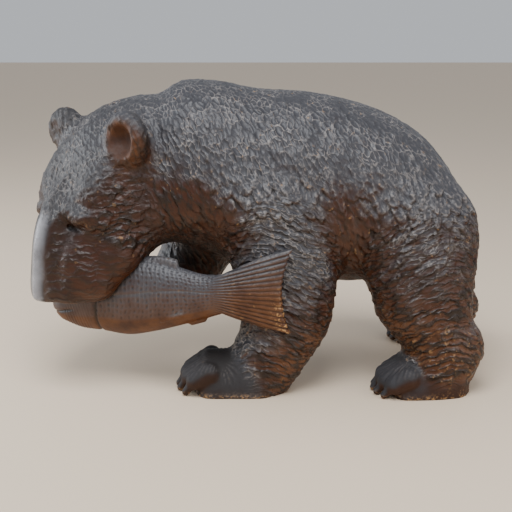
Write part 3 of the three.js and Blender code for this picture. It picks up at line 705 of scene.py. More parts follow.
def spread(points, directions, allowed, spacing, stretch):
    """Picks points in random order, each at least spacing from those before, and stretch times further along
    its direction. A batch goes in rounds: a point is dropped once an earlier one too close to it is picked,
    and picked once all of those are dropped."""
    order = dice.permutation(np.flatnonzero(allowed))
    squeeze = 1.0 - 1.0 / stretch ** 2
    picked = order[:0]
    for batch in np.array_split(order, max(1, len(order) // MARK_BATCH)):
        near = np.concatenate([picked, batch])
        seats = np.arange(len(picked), len(near))
        pairs = []
        for seat, earlier in neighbours(points[near], seats, spacing * stretch):
            later = seats[seat]
            before = earlier < later
            later, earlier = later[before], earlier[before]
            gap = points[near[earlier]] - points[near[later]]
            along = (gap * directions[near[later]]).sum(1)
            close = (gap ** 2).sum(1) - squeeze * along ** 2 < spacing ** 2
            pairs.append((later[close], earlier[close]))
        later, earlier = np.concatenate(pairs, 1)
        state = np.where(np.arange(len(near)) < len(picked), PICKED, OPEN)
        while (state == OPEN).any():
            state[later[state[earlier] == PICKED]] = DROPPED
            still = (state[later] == OPEN) & (state[earlier] == OPEN)
            later, earlier = later[still], earlier[still]
            waiting = np.bincount(later, minlength=len(near)) > 0
            state[(state == OPEN) & ~waiting] = PICKED
        picked = near[state == PICKED]
    return picked


print("cells looked at around each point:", len(AROUND))

# %% Shapes of locks and cuts
SPARE_REACH = 0.5
SAME_FACE = (0.2, 0.6)


def pressed(points, normals, seats, directions, half_length, half_width, height, shape, keep):
    """Relief of many like marks. Each has a frame from its direction, u along and v across, both from -1 to 1
    inside it. Shape gives its height there as a share, and keep joins marks: the highest or the lowest."""
    relief = np.zeros(len(points))
    across = np.cross(normals[seats], directions)
    for mark, at in neighbours(points, seats, half_length.max() + SPARE_REACH):
        gap = points[at] - points[seats[mark]]
        u = (gap * directions[mark]).sum(1) / half_length[mark]
        v = (gap * across[mark]).sum(1) / half_width[mark]
        facing = smooth(*SAME_FACE, (normals[at] * normals[seats[mark]]).sum(1))
        keep.at(relief, at, np.where(np.abs(u) < 1, shape(u, v) * height[mark] * facing, 0.0))
    return relief


def lock_shape(u, v):
    """A tile: it rises from its root at u = -1 to its tip at u = 1, narrows to the tip and ends in a drop."""
    narrowing = np.sqrt(np.maximum(1 - np.maximum((u + 0.1) / 1.1, 0) ** 2, 1e-6))
    inside = smooth(1.0, 0.82, np.abs(v) / narrowing)
    return inside * (0.5 + 0.5 * u) * (1 - 0.25 * np.minimum(v * v, 1))


def cut_shape(u, v):
    """A scoop: a hollow paraboloid, 1 - u^2 - v^2 deep, that bites in deeper at its start than at its end."""
    return -np.maximum(1 - u * u - v * v, 0) * (1 - 0.3 * u)


# %% Coat
# Sizes of the marks in millimetres: plain, then what is added on the legs, the ragged flank, the cheeks and
# the brow. Each is varied by a quarter either way.
LOCKS = {"spacing": 7.6, "stretch": 1.4, "sway": 0.25, "length": (10.5, 3.0, 5.0, 3.5, -3.0),
         "width": (6.2, -2.0, 0.8, -2.6, -2.0), "height": (0.3, 1.0, 3.0, 1.9, 0.0)}
CUTS = {"spacing": 4.1, "stretch": 1.7, "sway": 0.18, "length": (7.4, 2.4, 0.5, 0.5, -2.2),
        "width": (4.0, -0.8, 0.3, -0.5, -0.4), "height": (0.7, 0.2, 1.3, 0.3, 0.2)}
VARIED = (0.75, 1.25)
# Paws, muzzle and ear bowl are left smooth. The flank is ragged around this height, which falls backwards.
RAGGED_HEIGHT, RAGGED_FALL = 158, 0.05
haired = (1 - smooth(0.35, 0.8, paws)) * (1 - smooth(0.25, 0.75, muzzle))
coat = haired * (1 - 0.6 * smooth(0.2, 0.6, ear_bowl))
combed = np.maximum(fore_share, hind_share)[:, 0]
ragged = smooth(58, 28, np.abs(z - RAGGED_HEIGHT + RAGGED_FALL * x)) * smooth(-75, -20, x)
ragged = ragged * (1 - combed) * outer_face
cheek = weight["head"] * smooth(15, 40, np.abs(sideways)) * smooth(60, 25, upward) * smooth(-64, -82, x)
brow = np.maximum(weight["head"], weight["ears"]) * (1 - cheek)


def marked(where, shape, keep, spacing, stretch, sway, length, width, height):
    """A layer of marks, each turned a little out of the flow and with sizes mixed by what it grows on."""
    seats = spread(skin, flow, where, spacing, stretch)
    mix = np.stack([np.ones(len(seats)), combed[seats], ragged[seats], cheek[seats], brow[seats]])
    turn = dice.normal(0, sway, len(seats))[:, None]
    along = flow[seats] * np.cos(turn) + np.cross(outward[seats], flow[seats]) * np.sin(turn)
    sizes = [np.asarray(size, float) @ mix * dice.uniform(*VARIED, len(seats))
             for size in (length, width, height)]
    relief = pressed(skin, outward, seats, along, *sizes, shape, keep)
    print("marks:", len(seats), "relief from", round(relief.min(), 2), "to", round(relief.max(), 2), "mm")
    return relief


candidate = dice.random(len(skin)) < 0.5
locks = marked(candidate & (coat > 0.3), lock_shape, np.maximum, **LOCKS)
cuts = marked(candidate & (coat > 0.2), cut_shape, np.minimum, **CUTS)

# %% Furrows on the paws
# Where each fan of furrows starts, as (x, y).
FANS = {"fore_paw": (-33, -75), "hind_paw": (142, -76), "far_hind_paw": (176, 76)}
FURROWS = 38
FURROW_HEIGHT = 0.36
HOLLOW_DEPTH, HOLLOW_WIDTH = 1.8, 11
# How far from its start a fan sets in and how far out it fades, in millimetres.
FAN_BEGINS, FAN_ENDS = (4, 14), (44, 26)


def fanned(middle):
    """Furrows that fan out over a paw from a small hollow on top of it, as (height, depth of the hollow).
    They are a cosine of the angle around the hollow, bent by a slower wave."""
    gap = np.hypot(x - middle[0], y - middle[1])
    turn = np.arctan2(y - middle[1], x - middle[0])
    lines = np.cos(FURROWS * turn + 0.9 * np.sin(5 * turn + gap / 9))
    lines = lines * smooth(*FAN_BEGINS, gap) * smooth(*FAN_ENDS, gap)
    hollow = np.exp(-(gap / HOLLOW_WIDTH) ** 2)
    return FURROW_HEIGHT * lines - HOLLOW_DEPTH * hollow, hollow


fan_relief = np.zeros(len(skin))
fan_hollow = np.zeros(len(skin))
for name, middle in FANS.items():
    height, hollow = fanned(middle)
    fan_relief += weight[name] * (1 - coat) * smooth(0.1, 0.5, outward[:, 2]) * height
    fan_hollow += weight[name] * hollow
relief = coat * (locks + cuts) + fan_relief
carved = skin + outward * relief[:, None]
carved[:, 2] = np.maximum(carved[:, 2], 0.0)
print("relief from", round(float(relief.min()), 2), "to", round(float(relief.max()), 2), "mm")

# %% [markdown]
# ## Ridges and hollows
# Shade is painted into the hollows, and a highlight and wear onto the ridges, so the finish needs to know
# which is which. For each vertex, the mean height of its neighbours over its own tells: above them it is a
# ridge, below a hollow.

# %% Ridges and hollows
WIDE_ROUNDS = 8
# Relief over the mean around it, in millimetres, where a ridge or a hollow begins and is full.
RIDGE_HEIGHT, HOLLOW_FALL = (0.06, 0.40), (-0.3, -1.4)
SOLE_EDGE = (5.0, 2.5)
edges = np.concatenate([quads[:, [0, 1]], quads[:, [1, 2]], quads[:, [2, 3]], quads[:, [3, 0]]])


def neighbour_mean(values):
    """The mean of a value over each vertex's neighbours along the quads' edges."""
    total = np.bincount(edges[:, 0], values[edges[:, 1]], len(skin))
    total += np.bincount(edges[:, 1], values[edges[:, 0]], len(skin))
    return total / np.maximum(np.bincount(edges.ravel(), minlength=len(skin)), 1)


def normals_of(points, faces):
    """Unit normals of the vertices: the sum of the cross products of the diagonals of their quads."""
    a, b, c, d = points[faces].transpose(1, 0, 2)
    across = np.repeat(np.cross(c - a, d - b), 4, axis=0)
    total = [np.bincount(faces.ravel(), across[:, axis], len(points)) for axis in range(3)]
    return unit(np.stack(total, 1))


near_mean = neighbour_mean(neighbour_mean(relief))
wide_mean = near_mean
for _ in range(WIDE_ROUNDS):
    wide_mean = neighbour_mean(wide_mean)
# Painted shade in the hollows of the relief and of the paws' fans; the paws and the brow are made darker as
# well.
shade = fan_hollow + 0.45 * on_paw + 0.2 * weight["fore_paw"] + 0.6 * brow * (1 - ear_face)
deep = np.maximum(smooth(*HOLLOW_FALL, relief - wide_mean), np.clip(shade, 0, 1))
sole_edge = smooth(*SOLE_EDGE, z) * on_paw
ridge = smooth(*RIDGE_HEIGHT, relief - near_mean)
ridge = np.maximum(ridge * (1 - 0.7 * on_paw), 0.7 * sole_edge)
on_leg = smooth(0.1, 0.5, combed)
cells = coat * (1 - on_leg) * (1 - 0.5 * ragged) * (1 - cheek) * (1 - 0.3 * brow)
muzzle_side = 0.6 * muzzle * smooth(10, 18, np.abs(sideways))
strands = np.maximum(coat * np.maximum(on_leg, cheek), muzzle_side)
cut_normal = normals_of(carved, quads)
print("ridge share", round(float(ridge.mean()), 3), "deep share", round(float(deep.mean()), 3))

# %% [markdown]
# ## Where the stain and the painted light change
# The wood's own stain is a dark red-brown. Faces that look up and forward get a cool grey sheen, a painted
# reflection; under the brow, on the cheek, throat and belly, inside the legs and low down it is held back as
# painted shade. These are soft regions, so they are stored as values on the vertices, which the material
# reads.

# %% Painted sheen, and where it is held back
NOSE_MIDDLE = 1.0
NOSE_TOP = (10.0, 22.0)
on_head = weight["head"]
# Where the painted sheen is held back, as painted shade: faces turned down, low down, the throat, under the
# ear, beside the bridge, and the ear's bowl and face.
downward = smooth(0.30, -0.45, outward[:, 2])
low_down = smooth(120, 25, z) * (1 - 0.7 * paws)
under_ear = on_head * smooth(12, 34, np.abs(sideways)) * smooth(58, 30, upward) * smooth(-40, 0, forward)
throat = smooth(-24, -50, x) * smooth(200, 165, z) * smooth(0.5, 0.1, outward[:, 2]) * (1 - muzzle)
beside_bridge = muzzle * smooth(8.0, 15.0, sideways)
sheen_held_back = (0.7 * downward * (1 - 0.7 * combed) + 0.55 * low_down + 0.85 * throat + 0.9 * ear_bowl
        + 0.9 * under_ear + beside_bridge + 0.6 * ear_face)
sheen_held_back = np.clip(sheen_held_back, 0, 1) * (1 - 0.75 * on_paw)
facing = 0.55 * cut_normal + 0.45 * outward
lit = facing[:, 2] - 0.2 * facing[:, 0] + 0.25 * combed - 0.35 * hind_share[:, 0]
from_ridge = np.abs(sideways - NOSE_MIDDLE)
nose_ridge = muzzle * smooth(11.0, 5.0, from_ridge) * smooth(*NOSE_TOP, upward)
# Painted sheen: a cool grey painted reflection on faces that look up, held back where listed above, and full
# on the ridge of the nose.
painted_sheen = smooth(-0.45, 0.55, lit - 0.75 * sheen_held_back) * (1 - ear_bowl)
painted_sheen = np.maximum(painted_sheen, 1.6 * nose_ridge)
print("warm share", round(float(sheen_held_back.mean()), 3), "bloom share", round(float(painted_sheen.mean()), 3))

# %% Painted highlight and wear
BROW_EDGE, BROW_EDGE_WIDTH = 64.0, 1.6
# A painted highlight down the ridge of the nose, a painted reflection of the window; the ridge lines are
# taken out under it.
painted_highlight = muzzle * smooth(9.0, 3.0, from_ridge) * smooth(*NOSE_TOP, upward)
ridge = ridge * (1 - painted_highlight)
# A weaker painted highlight on the front of the raised far arm.
far_arm_front = weight["far_arm"] * smooth(0.0, -0.6, outward[:, 0])
painted_highlight = np.maximum(painted_highlight, 0.3 * far_arm_front * (1 - on_paw))
# A painted highlight along the edge of the brow, laid in with the wear and the ridges.
brow_highlight = on_head * np.exp(-((forward - BROW_EDGE) / BROW_EDGE_WIDTH) ** 2)
brow_highlight = brow_highlight * smooth(14, 20, np.abs(sideways)) * smooth(30, 36, upward)
# Bare wood low on the near hind leg and on the soles' edges is wear; the brow's painted highlight joins it.
wear_and_brow_highlight = smooth(80, 20, z) * weight["hindleg"] * smooth(0.0, -0.5, outward[:, 1])
wear_and_brow_highlight = np.maximum(np.maximum(wear_and_brow_highlight, sole_edge), 0.3 * brow_highlight)
ridge = np.maximum(ridge, 0.6 * brow_highlight)
matte = np.maximum(1.4 * np.maximum(on_paw, ear_bowl), 0.7 * brow * (1 - muzzle)) - 0.7 * nose_ridge
# A lighter red-brown: painted light bounced up from below on low and downward faces, and a thinner stain on
# the ear's face.
pale = 0.4 * smooth(120, 40, z) * (1 - on_paw) + 0.2 * downward + 0.3 * ear_face
print("highlighted share", round(float(painted_highlight.mean()), 3), "worn share", round(float(wear_and_brow_highlight.mean()), 3))

# %% [markdown]
# ## The bear as a mesh
# The quads and values go into a Blender mesh. A Decimate modifier would thin it while live, but it is
# applied here, so that the piece is a plain mesh: it merges the flattest faces first and keeps the ridges
# of the cuts.

# %% Mesh helpers
MOST_TRIANGLES = 190000
# Vertices closer than this, in metres, are one vertex.
SAME_PLACE = 1e-6


def made_piece(name, points, faces, values, material):
    """A mesh object at the origin from points in carver's millimetres, with one number, or one place,
    per vertex and name."""
    mesh = bpy.data.meshes.new(name)
    mesh.from_pydata(to_frame(points).tolist(), [], faces.tolist())
    for label, value in values.items():
        kind, field = ("FLOAT_VECTOR", "vector") if np.ndim(value) == 2 else ("FLOAT", "value")
        stored = mesh.attributes.new(label, kind, "POINT")
        stored.data.foreach_set(field, np.ascontiguousarray(value, np.float32).ravel())
    mesh.shade_smooth()
    mesh.materials.append(material)
    piece = bpy.data.objects.new(name, mesh)
    bpy.context.collection.objects.link(piece)
    return piece


def triangles_of(piece):
    """Triangles in a piece: each face has two fewer than it has corners."""
    return sum(len(face.vertices) - 2 for face in piece.data.polygons)


def thinned(piece, most):
    """Collapses edges until about most triangles are left, makes the result the piece's own mesh and takes
    out the triangles that have lost their area."""
    count = triangles_of(piece)
    if count > most:
        thin = piece.modifiers.new("thin", "DECIMATE")
        thin.ratio = most / count
        thin.use_collapse_triangulate = True
        bpy.context.view_layer.update()
        done = piece.evaluated_get(bpy.context.evaluated_depsgraph_get())
        mesh = bpy.data.meshes.new_from_object(done)
        piece.modifiers.clear()
        piece.data = mesh
        work = bmesh.new()
        work.from_mesh(mesh)
        bmesh.ops.dissolve_degenerate(work, dist=SAME_PLACE, edges=work.edges)
        work.to_mesh(mesh)
        work.free()
    print(piece.name, "triangles:", triangles_of(piece))


# %% [markdown]
# ## Stained wood
# The stain is a near-black brown with a satin wax. Its colour is mixed in steps: a painted cool grey sheen,
# a lighter red-brown of thin stain and painted bounce light, painted shade in the hollows, a painted
# highlight and ochre wear on the ridges, and a painted highlight down the nose. Noise on Object coordinates
# breaks every step up. The finest strokes of the gouge are too small for the mesh, so they are cells in the
# bump; painted shade darkens their sides and a painted highlight lightens their rims.

# %% Node helpers
def node(tree, kind, links=(), **settings):
    """Adds a node, sets its fields and inputs by name, and links (socket of another node, input) pairs."""
    made = tree.nodes.new(kind)
    for label, value in settings.items():
        if hasattr(made, label):
            setattr(made, label, value)
        else:
            made.inputs[label.replace("_", " ")].default_value = value
    for source, target in links:
        tree.links.new(source, made.inputs[target])
    return made


def attribute(tree, name):
    """A vertex value as a number socket."""
    return node(tree, "ShaderNodeAttribute", attribute_name=name).outputs["Fac"]


def mixed(tree, factor, a, b):
    """Colour a where factor is 0 and b where it is 1. Either may be a colour or a socket."""
    made = tree.nodes.new("ShaderNodeMix")
    made.data_type = "RGBA"
    tree.links.new(factor, made.inputs["Factor"])
    for name, value in (("A", a), ("B", b)):
        socket = next(s for s in made.inputs if s.name == name and s.type == "RGBA")
        if isinstance(value, tuple):
            socket.default_value = (*value, 1.0)
        else:
            tree.links.new(value, socket)
    return next(s for s in made.outputs if s.type == "RGBA")


def maths(tree, operation, a, b):
    """One arithmetic step. Each side is a number or a socket."""
    made = node(tree, "ShaderNodeMath", operation=operation)
    for n, value in enumerate((a, b)):
        if isinstance(value, (int, float)):
            made.inputs[n].default_value = value
        else:
            tree.links.new(value, made.inputs[n])
    return made.outputs[0]


def stepped(tree, value, low, high):
    """0 below low, 1 above high, smooth between."""
    made = node(tree, "ShaderNodeMapRange", [(value, "Value")], interpolation_type="SMOOTHSTEP",
                From_Min=low, From_Max=high)
    return made.outputs["Result"]


def noise(tree, place, scale, detail):
    """A noise node from 0 to 1, at a scale in features a metre."""
    return node(tree, "ShaderNodeTexNoise", [(place, "Vector")], Scale=scale, Detail=detail)


# %% Scoops and strands
# A small scoop of the coat, in metres, and how far its length leans back from upright.
SCOOP_WIDTH = 0.0036
SCOOP_LENGTH = 0.0100
SCOOP_DEPTH = 0.0060
SCOOP_LEAN = np.radians(-26.0)
SCOOP_WOBBLE = 0.006
# A strand of hair, in millimetres: across, along and through.
STRAND = (3.2, 13.0, 7.0)
STRAND_WOBBLE = 7.0
# Distance from the rim, in scoop sizes, at which the rim begins and is full.
RIM = (0.10, 0.02)
UPRIGHT = (0.0, 0.0, 0.0)


def gouge_cells(tree, place, wobble, amount, turn, size):
    """Scoops side by side: the square of the distance from the middle of each, and how near its rim is. A
    wobble moves the points first, so that no scoop is regular."""
    moved = node(tree, "ShaderNodeVectorMath", [(wobble, 0), (place, 2)], operation="MULTIPLY_ADD")
    moved.inputs[1].default_value = (amount,) * 3
    leaning = node(tree, "ShaderNodeMapping", [(moved.outputs[0], "Vector")], vector_type="TEXTURE",
                   Rotation=turn, Scale=size)
    links = [(leaning.outputs[0], "Vector")]
    middle, rim = [node(tree, "ShaderNodeTexVoronoi", links, feature=feature, Scale=1.0).outputs["Distance"]
                   for feature in ("F1", "DISTANCE_TO_EDGE")]
    return maths(tree, "POWER", middle, 2.0), stepped(tree, rim, *RIM)


print("scoops in mm:", SCOOP_WIDTH / MM, SCOOP_LENGTH / MM, "strands in mm:", *STRAND[:2])

# %% Stained wood
# Cool grey of the painted sheen, a painted reflection on faces that look up.
SHEEN_GREY = (0.036, 0.036, 0.042)
WARM_STAIN = (0.036, 0.0080, 0.0012)
# A lighter red-brown: thin stain, and painted light bounced up from below.
THIN_STAIN_AND_BOUNCE = (0.16, 0.058, 0.014)
# Painted shade in the hollows and on the sides of the cuts; also the darker paws and brow.
SHADE_AND_DARK_STAIN = (0.009, 0.0055, 0.0035)
# Painted highlight on ridges and the rims of cuts, partly wear of the stain.
RIDGE_HIGHLIGHT_AND_WEAR = (0.26, 0.235, 0.22)
WORN_WOOD = (0.40, 0.22, 0.085)
# Bluish white of the painted highlight, a painted reflection.
HIGHLIGHT_WHITE = (0.40, 0.40, 0.43)
WAX_SHINE = 0.38
WAX_ROUGHNESS, MATTE_ROUGHER = (0.34, 0.52), 0.22
# Depth in metres of a scoop and of the wood's pores, and how much deeper a strand is than a scoop.
SCOOP_BUMP, PORE_BUMP, STRAND_DEEPER = 0.0016, 0.0006, 1.5


def stained_wood():
    """The bear's finish, from the values on its vertices. Every mix lays one more stain, painted sheen,
    painted shade or painted highlight over those before.
    """
    material = bpy.data.materials.new("stained_wood")
    material.use_nodes = True
    tree = material.node_tree
    shader = tree.nodes["Principled BSDF"]
    shader.inputs["Specular IOR Level"].default_value = WAX_SHINE
    place = tree.nodes.new("ShaderNodeTexCoord").outputs["Object"]

    def times(a, b):
        """a times b."""
        return maths(tree, "MULTIPLY", a, b)

    def larger(a, b):
        """The larger of a and b."""
        return maths(tree, "MAXIMUM", a, b)

    def value(name):
        """A value on the vertices."""
        return attribute(tree, name)

    patches, flecks, specks = [noise(tree, place, scale, detail).outputs["Fac"]
                               for scale, detail in ((60.0, 4.0), (170.0, 2.0), (450.0, 3.0))]
    wobble = noise(tree, place, 90.0, 2.0).outputs["Color"]
    uneven = maths(tree, "SUBTRACT", patches, 0.5)
    # Where the painted sheen shows, broken up by noise.
    sheen_at = stepped(tree, maths(tree, "ADD", value("painted_sheen"), uneven), 0.0, 0.9)
    # The lighter red-brown of thin stain and painted bounce light, under the painted sheen.
    thin = times(value("pale"), stepped(tree, patches, 0.2, 0.7))
    colour = mixed(tree, sheen_at, mixed(tree, thin, WARM_STAIN, THIN_STAIN_AND_BOUNCE), SHEEN_GREY)
    # Painted shade in the hollows.
    colour = mixed(tree, times(value("deep"), 0.8), colour, SHADE_AND_DARK_STAIN)

    cells, strands = value("cells"), value("strands")
    lay = node(tree, "ShaderNodeAttribute", attribute_name="lay").outputs["Vector"]
    scoop, scoop_rim = gouge_cells(tree, place, wobble, SCOOP_WOBBLE, (0.0, SCOOP_LEAN, 0.0),
                                   (SCOOP_WIDTH, SCOOP_DEPTH, SCOOP_LENGTH))
    strand, strand_rim = gouge_cells(tree, lay, wobble, STRAND_WOBBLE, UPRIGHT, STRAND)
    rim = larger(times(scoop_rim, cells), times(strand_rim, strands))
    # Painted shade on the sides of the fine scoops and strands, less where the painted sheen shows.
    scoop_side, strand_side = [stepped(tree, mark, 0.1, 0.45) for mark in (scoop, strand)]
    side = larger(times(scoop_side, cells), times(strand_side, strands))
    side_shade = times(side, maths(tree, "SUBTRACT", 0.85, times(sheen_at, 0.85)))
    colour = mixed(tree, side_shade, colour, SHADE_AND_DARK_STAIN)

    ridge = value("ridge")
    # A painted highlight on crests and rims, partly wear, laid on where the painted sheen shows.
    crest = larger(times(rim, stepped(tree, patches, 0.35, 0.6)), ridge)
    highlight_shown = times(larger(sheen_at, 0.05), stepped(tree, specks, 0.3, 0.6))
    colour = mixed(tree, times(times(crest, highlight_shown), 0.7), colour, RIDGE_HIGHLIGHT_AND_WEAR)
    scattered = times(crest, stepped(tree, flecks, 0.62, 0.74))
    bare = times(times(value("wear_and_brow_highlight"), stepped(tree, specks, 0.5, 0.62)), ridge)
    colour = mixed(tree, larger(times(scattered, 0.6), bare), colour, WORN_WOOD)
    # The painted highlight on the nose, the far arm and the fish's upper side.
    highlight_at = times(value("painted_highlight"), stepped(tree, patches, -0.1, 0.6))
    colour = mixed(tree, highlight_at, colour, HIGHLIGHT_WHITE)
    tree.links.new(colour, shader.inputs["Base Color"])

    rough = node(tree, "ShaderNodeMapRange", [(specks, "Value")], To_Min=WAX_ROUGHNESS[0],
                 To_Max=WAX_ROUGHNESS[1]).outputs["Result"]
    dull = times(value("matte"), MATTE_ROUGHER)
    tree.links.new(maths(tree, "ADD", rough, dull), shader.inputs["Roughness"])
    height = maths(tree, "ADD", times(scoop, cells), times(times(strand, strands), STRAND_DEEPER))
    scooped = node(tree, "ShaderNodeBump", [(height, "Height")], Strength=1.0, Distance=SCOOP_BUMP)
    bump = node(tree, "ShaderNodeBump", [(specks, "Height"), (scooped.outputs["Normal"], "Normal")],
                Strength=0.25, Distance=PORE_BUMP)
    tree.links.new(bump.outputs["Normal"], shader.inputs["Normal"])
    return material


wood = stained_wood()
print("stained wood:", len(wood.node_tree.nodes), "nodes")

# %% Bear piece
bear_piece = made_piece("bear", carved, quads, {
    "ridge": ridge, "deep": deep, "painted_sheen": painted_sheen, "wear_and_brow_highlight": wear_and_brow_highlight, "cells": cells, "matte": matte, "pale": pale,
    "painted_highlight": 0.8 * painted_highlight, "strands": strands, "lay": strand_place}, wood)
thinned(bear_piece, MOST_TRIANGLES)
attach(bear_piece, "root")
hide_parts("carved_bear")

# %% [markdown]
# ## The salmon
# The fish hangs crosswise in the jaws, its tail towards the viewer. Its body is a profile carried along a
# path: rings of points around an oval whose middle and size follow the CAD sections, from the snout to the
# root of the tail. There the rings flatten into the fan of the tail fin, and its hollow end is got by
# moving each point of a ring along X. The last rings are closed by strips between their two sides.

# %% Salmon rings
# Each row: place along X, middle height, half height, middle across, half thickness.
SALMON = np.array([
    (-184, 73, 10, -42, 7), (-172, 74, 17, -44, 11), (-158, 79, 27, -46.5, 15), (-138, 83.7, 33, -51.5, 18),
    (-112, 85.5, 36.5, -58.5, 19), (-90, 87, 33, -65, 18), (-66, 88, 26, -73, 14), (-43, 90, 19.5, -80.5, 10),
    (-29, 93.6, 17, -85.5, 8)])
FIN_ROOT = -29.0
FIN_LENGTH = 58.0
# Height of the fin's upper and lower side at its root, and how it changes for each millimetre back.
FIN_TOP = (110.6, 0.458)
FIN_BOTTOM = (76.7, -0.267)
FIN_TURN = -0.21
FIN_HALF = (8.0, 5.0)
# The fin's hollow end: its place along X at the middle, and how much further its points reach.
FIN_END, FIN_POINTS = 21.5, 8.5
FIN_MIDDLE, FIN_HALF_HEIGHT = 98.0, 38.0
# Lengths over which the snout and the fin are rounded off, and the shares that are left of them.
SNOUT_ROUND, FIN_ROUND = 10.0, 3.0
SNOUT_LEFT, FIN_LEFT = 0.08, 0.3
FLATTENS = (-45.0, -10.0)
RINGS, RING_POINTS = ((340, 200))
SNOUT_RINGS = 14


def fin_edge(height):
    """Where the tail fin ends along X: a hollow curve, furthest at its two points."""
    return FIN_END + FIN_POINTS * ((height - FIN_MIDDLE) / FIN_HALF_HEIGHT) ** 2


def salmon_rings(station, angle):
    """Points of the fish: an oval section at each station, flattened to a straight-sided slab in the fin.
    Angle runs from the belly up the near side, over the back and down the far side."""
    along = np.clip(station - FIN_ROOT, 0.0, None)
    in_fin = along > 0
    body_z, body_half_z, body_y, body_half_y = [
        track(np.minimum(station, FIN_ROOT), SALMON[:, 0], column) for column in SALMON.T[1:]]
    top = FIN_TOP[0] + FIN_TOP[1] * along
    bottom = FIN_BOTTOM[0] + FIN_BOTTOM[1] * along
    fin_half = FIN_HALF[0] + (FIN_HALF[1] - FIN_HALF[0]) * along / FIN_LENGTH
    snout_end = np.clip((SALMON[0, 0] + SNOUT_ROUND - station) / SNOUT_ROUND, 0.0, 1.0)
    fin_end = np.clip((along - FIN_LENGTH + FIN_ROUND) / FIN_ROUND, 0.0, 1.0)
    round_snout = np.maximum(np.sqrt(1 - snout_end ** 2), SNOUT_LEFT)
    round_fin = np.maximum(np.sqrt(1 - fin_end ** 2), FIN_LEFT)
    mid_z = np.where(in_fin, (top + bottom) / 2, body_z)
    half_z = np.where(in_fin, (top - bottom) / 2, body_half_z) * round_snout
    half_y = np.where(in_fin, fin_half, body_half_y) * round_snout * round_fin
    flat = 1.0 - 0.5 * smooth(*FLATTENS, station)
    height = mid_z + half_z * np.sin(angle)
    across = np.sign(np.cos(angle)) * np.abs(np.cos(angle)) ** flat
    reach = np.where(in_fin, FIN_ROOT + along / FIN_LENGTH * (fin_edge(height) - FIN_ROOT), station)
    return np.stack([reach, body_y + FIN_TURN * along - half_y * across, height], -1)


def ring_faces(rings, points):
    """Quads between neighbouring rings, and strips from side to side that close the first and last ring."""
    n = np.arange(rings * points).reshape(rings, points)
    after = np.roll(n, -1, 1)
    walls = np.stack([n[:-1], n[1:], after[1:], after[:-1]], -1).reshape(-1, 4)
    near = np.arange(points // 2 - 1)
    far = points - 1 - near
    strip = np.stack([near, near + 1, far - 1, far], 1)
    return np.concatenate([walls, n[0][strip], n[-1][strip[:, ::-1]]])


snout_done = SALMON[0, 0] + SNOUT_ROUND
start = SALMON[0, 0] + SNOUT_ROUND * (1 - np.cos(np.linspace(0, np.pi / 2, SNOUT_RINGS)))[:-1]
stations = np.concatenate([start, np.linspace(snout_done, FIN_ROOT + FIN_LENGTH, RINGS - len(start))])
angles = -np.pi / 2 + 2 * np.pi * (np.arange(RING_POINTS) + 0.5) / RING_POINTS
station, angle = np.meshgrid(stations, angles, indexing="ij")
fish = salmon_rings(station, angle)
fish_faces = ring_faces(len(stations), RING_POINTS)
print("salmon:", fish[..., 0].size, "vertices, length", round(float(np.ptp(fish[..., 0])), 1), "mm")

# %% [markdown]
# ## Scales, fins and gills
# Scales are small upright nicks in uneven rows and columns on both sides of the line along the side, and the
# belly is left smooth. The fin has ribs that fan out from the body. Cutting each nick with a modifier would
# be slow, so every mark is a simple function of the place on the fish, and their sum moves the points along
# the surface's normal.

# %% Places on the fish
SCALE_PITCH = 3.8
ROW_ANGLE = 0.15
RIB_ANGLE = 0.0445
# The ribs fan out from this place along X and this height.
FAN_START, FAN_HEIGHT = -80.0, 94.0
# The line along the side: place along X, height as a share of the half height.
SIDE_LINE = [(-160, 0.04), (-112, 0.14), (-43, 0.30), (-20, 0.12)]
# Where the gill's curve and the mouth are: place along X, height.
GILL, MOUTH = (-142.0, 72.0), (-184.0, 66.0)
# The leaf-shaped fin on the side: its root (place along X, height), and its length along X and up.
LEAF_ROOT, LEAF = (-82.0, 67.5), (17.0, 7.5)


def bump_at(value, width):
    """A soft ridge of height 1 around zero, exp(-(value / width)^2)."""
    return np.exp(-(value / width) ** 2)


def repeats(value, pitch):
    """Distance from the nearest multiple of pitch."""
    return np.abs((value / pitch + 0.5) % 1.0 - 0.5) * pitch


def stretch_of(begin, full, still, end):
    """1 between two places along the fish and 0 outside them, smooth at both ends."""
    return smooth(begin, full, station) * smooth(end, still, station)


rise = np.sin(angle)
level = fish[..., 2]
near_middle = np.abs(np.cos(angle))
side_line = track(station, *np.array(SIDE_LINE, float).T)
print("side line in half heights:", np.round((side_line.min(), side_line.max()), 2))

# %% Fish relief
# Heights in millimetres of each mark on the fish.
MARK_HEIGHTS = {"nick": -0.6, "line": -0.5, "gill": -1.3, "cheek_lines": -0.35, "mouth": -1.2, "ribs": 1.0,
                "leaf": 1.4, "back_fin": 5.5, "belly_fin": 2.6}
uneven_row = angle + 0.02 * np.sin(0.31 * station) + 0.012 * np.sin(0.83 * station + 4.0 * angle)
uneven_place = station + 0.7 * np.sin(9.0 * angle) + 0.5 * np.sin(0.21 * station + 17.0 * angle)
scaly = stretch_of(-150, -142, -42, -30) * smooth(-0.58, -0.50, rise)
nick = smooth(1.3, 0.4, repeats(uneven_place, SCALE_PITCH))
nick = nick * smooth(0.38, 0.18, repeats(uneven_row, ROW_ANGLE) / ROW_ANGLE)
nick = nick * (0.65 + 0.35 * np.sin(0.9 * station + 11.0 * angle))
nick = nick * smooth(0.03, 0.07, np.abs(rise - side_line)) * scaly
line = bump_at((rise - side_line) * 30.0, 0.9) * stretch_of(-150, -140, -40, -25)
gill = bump_at(station - GILL[0] - 0.010 * (level - GILL[1]) ** 2, 1.5) * smooth(0.75, 0.5, rise)
cheek_lines = smooth(0.9, 0.2, repeats(station + 0.25 * level, 2.6)) * stretch_of(-176, -168, -150, -144)
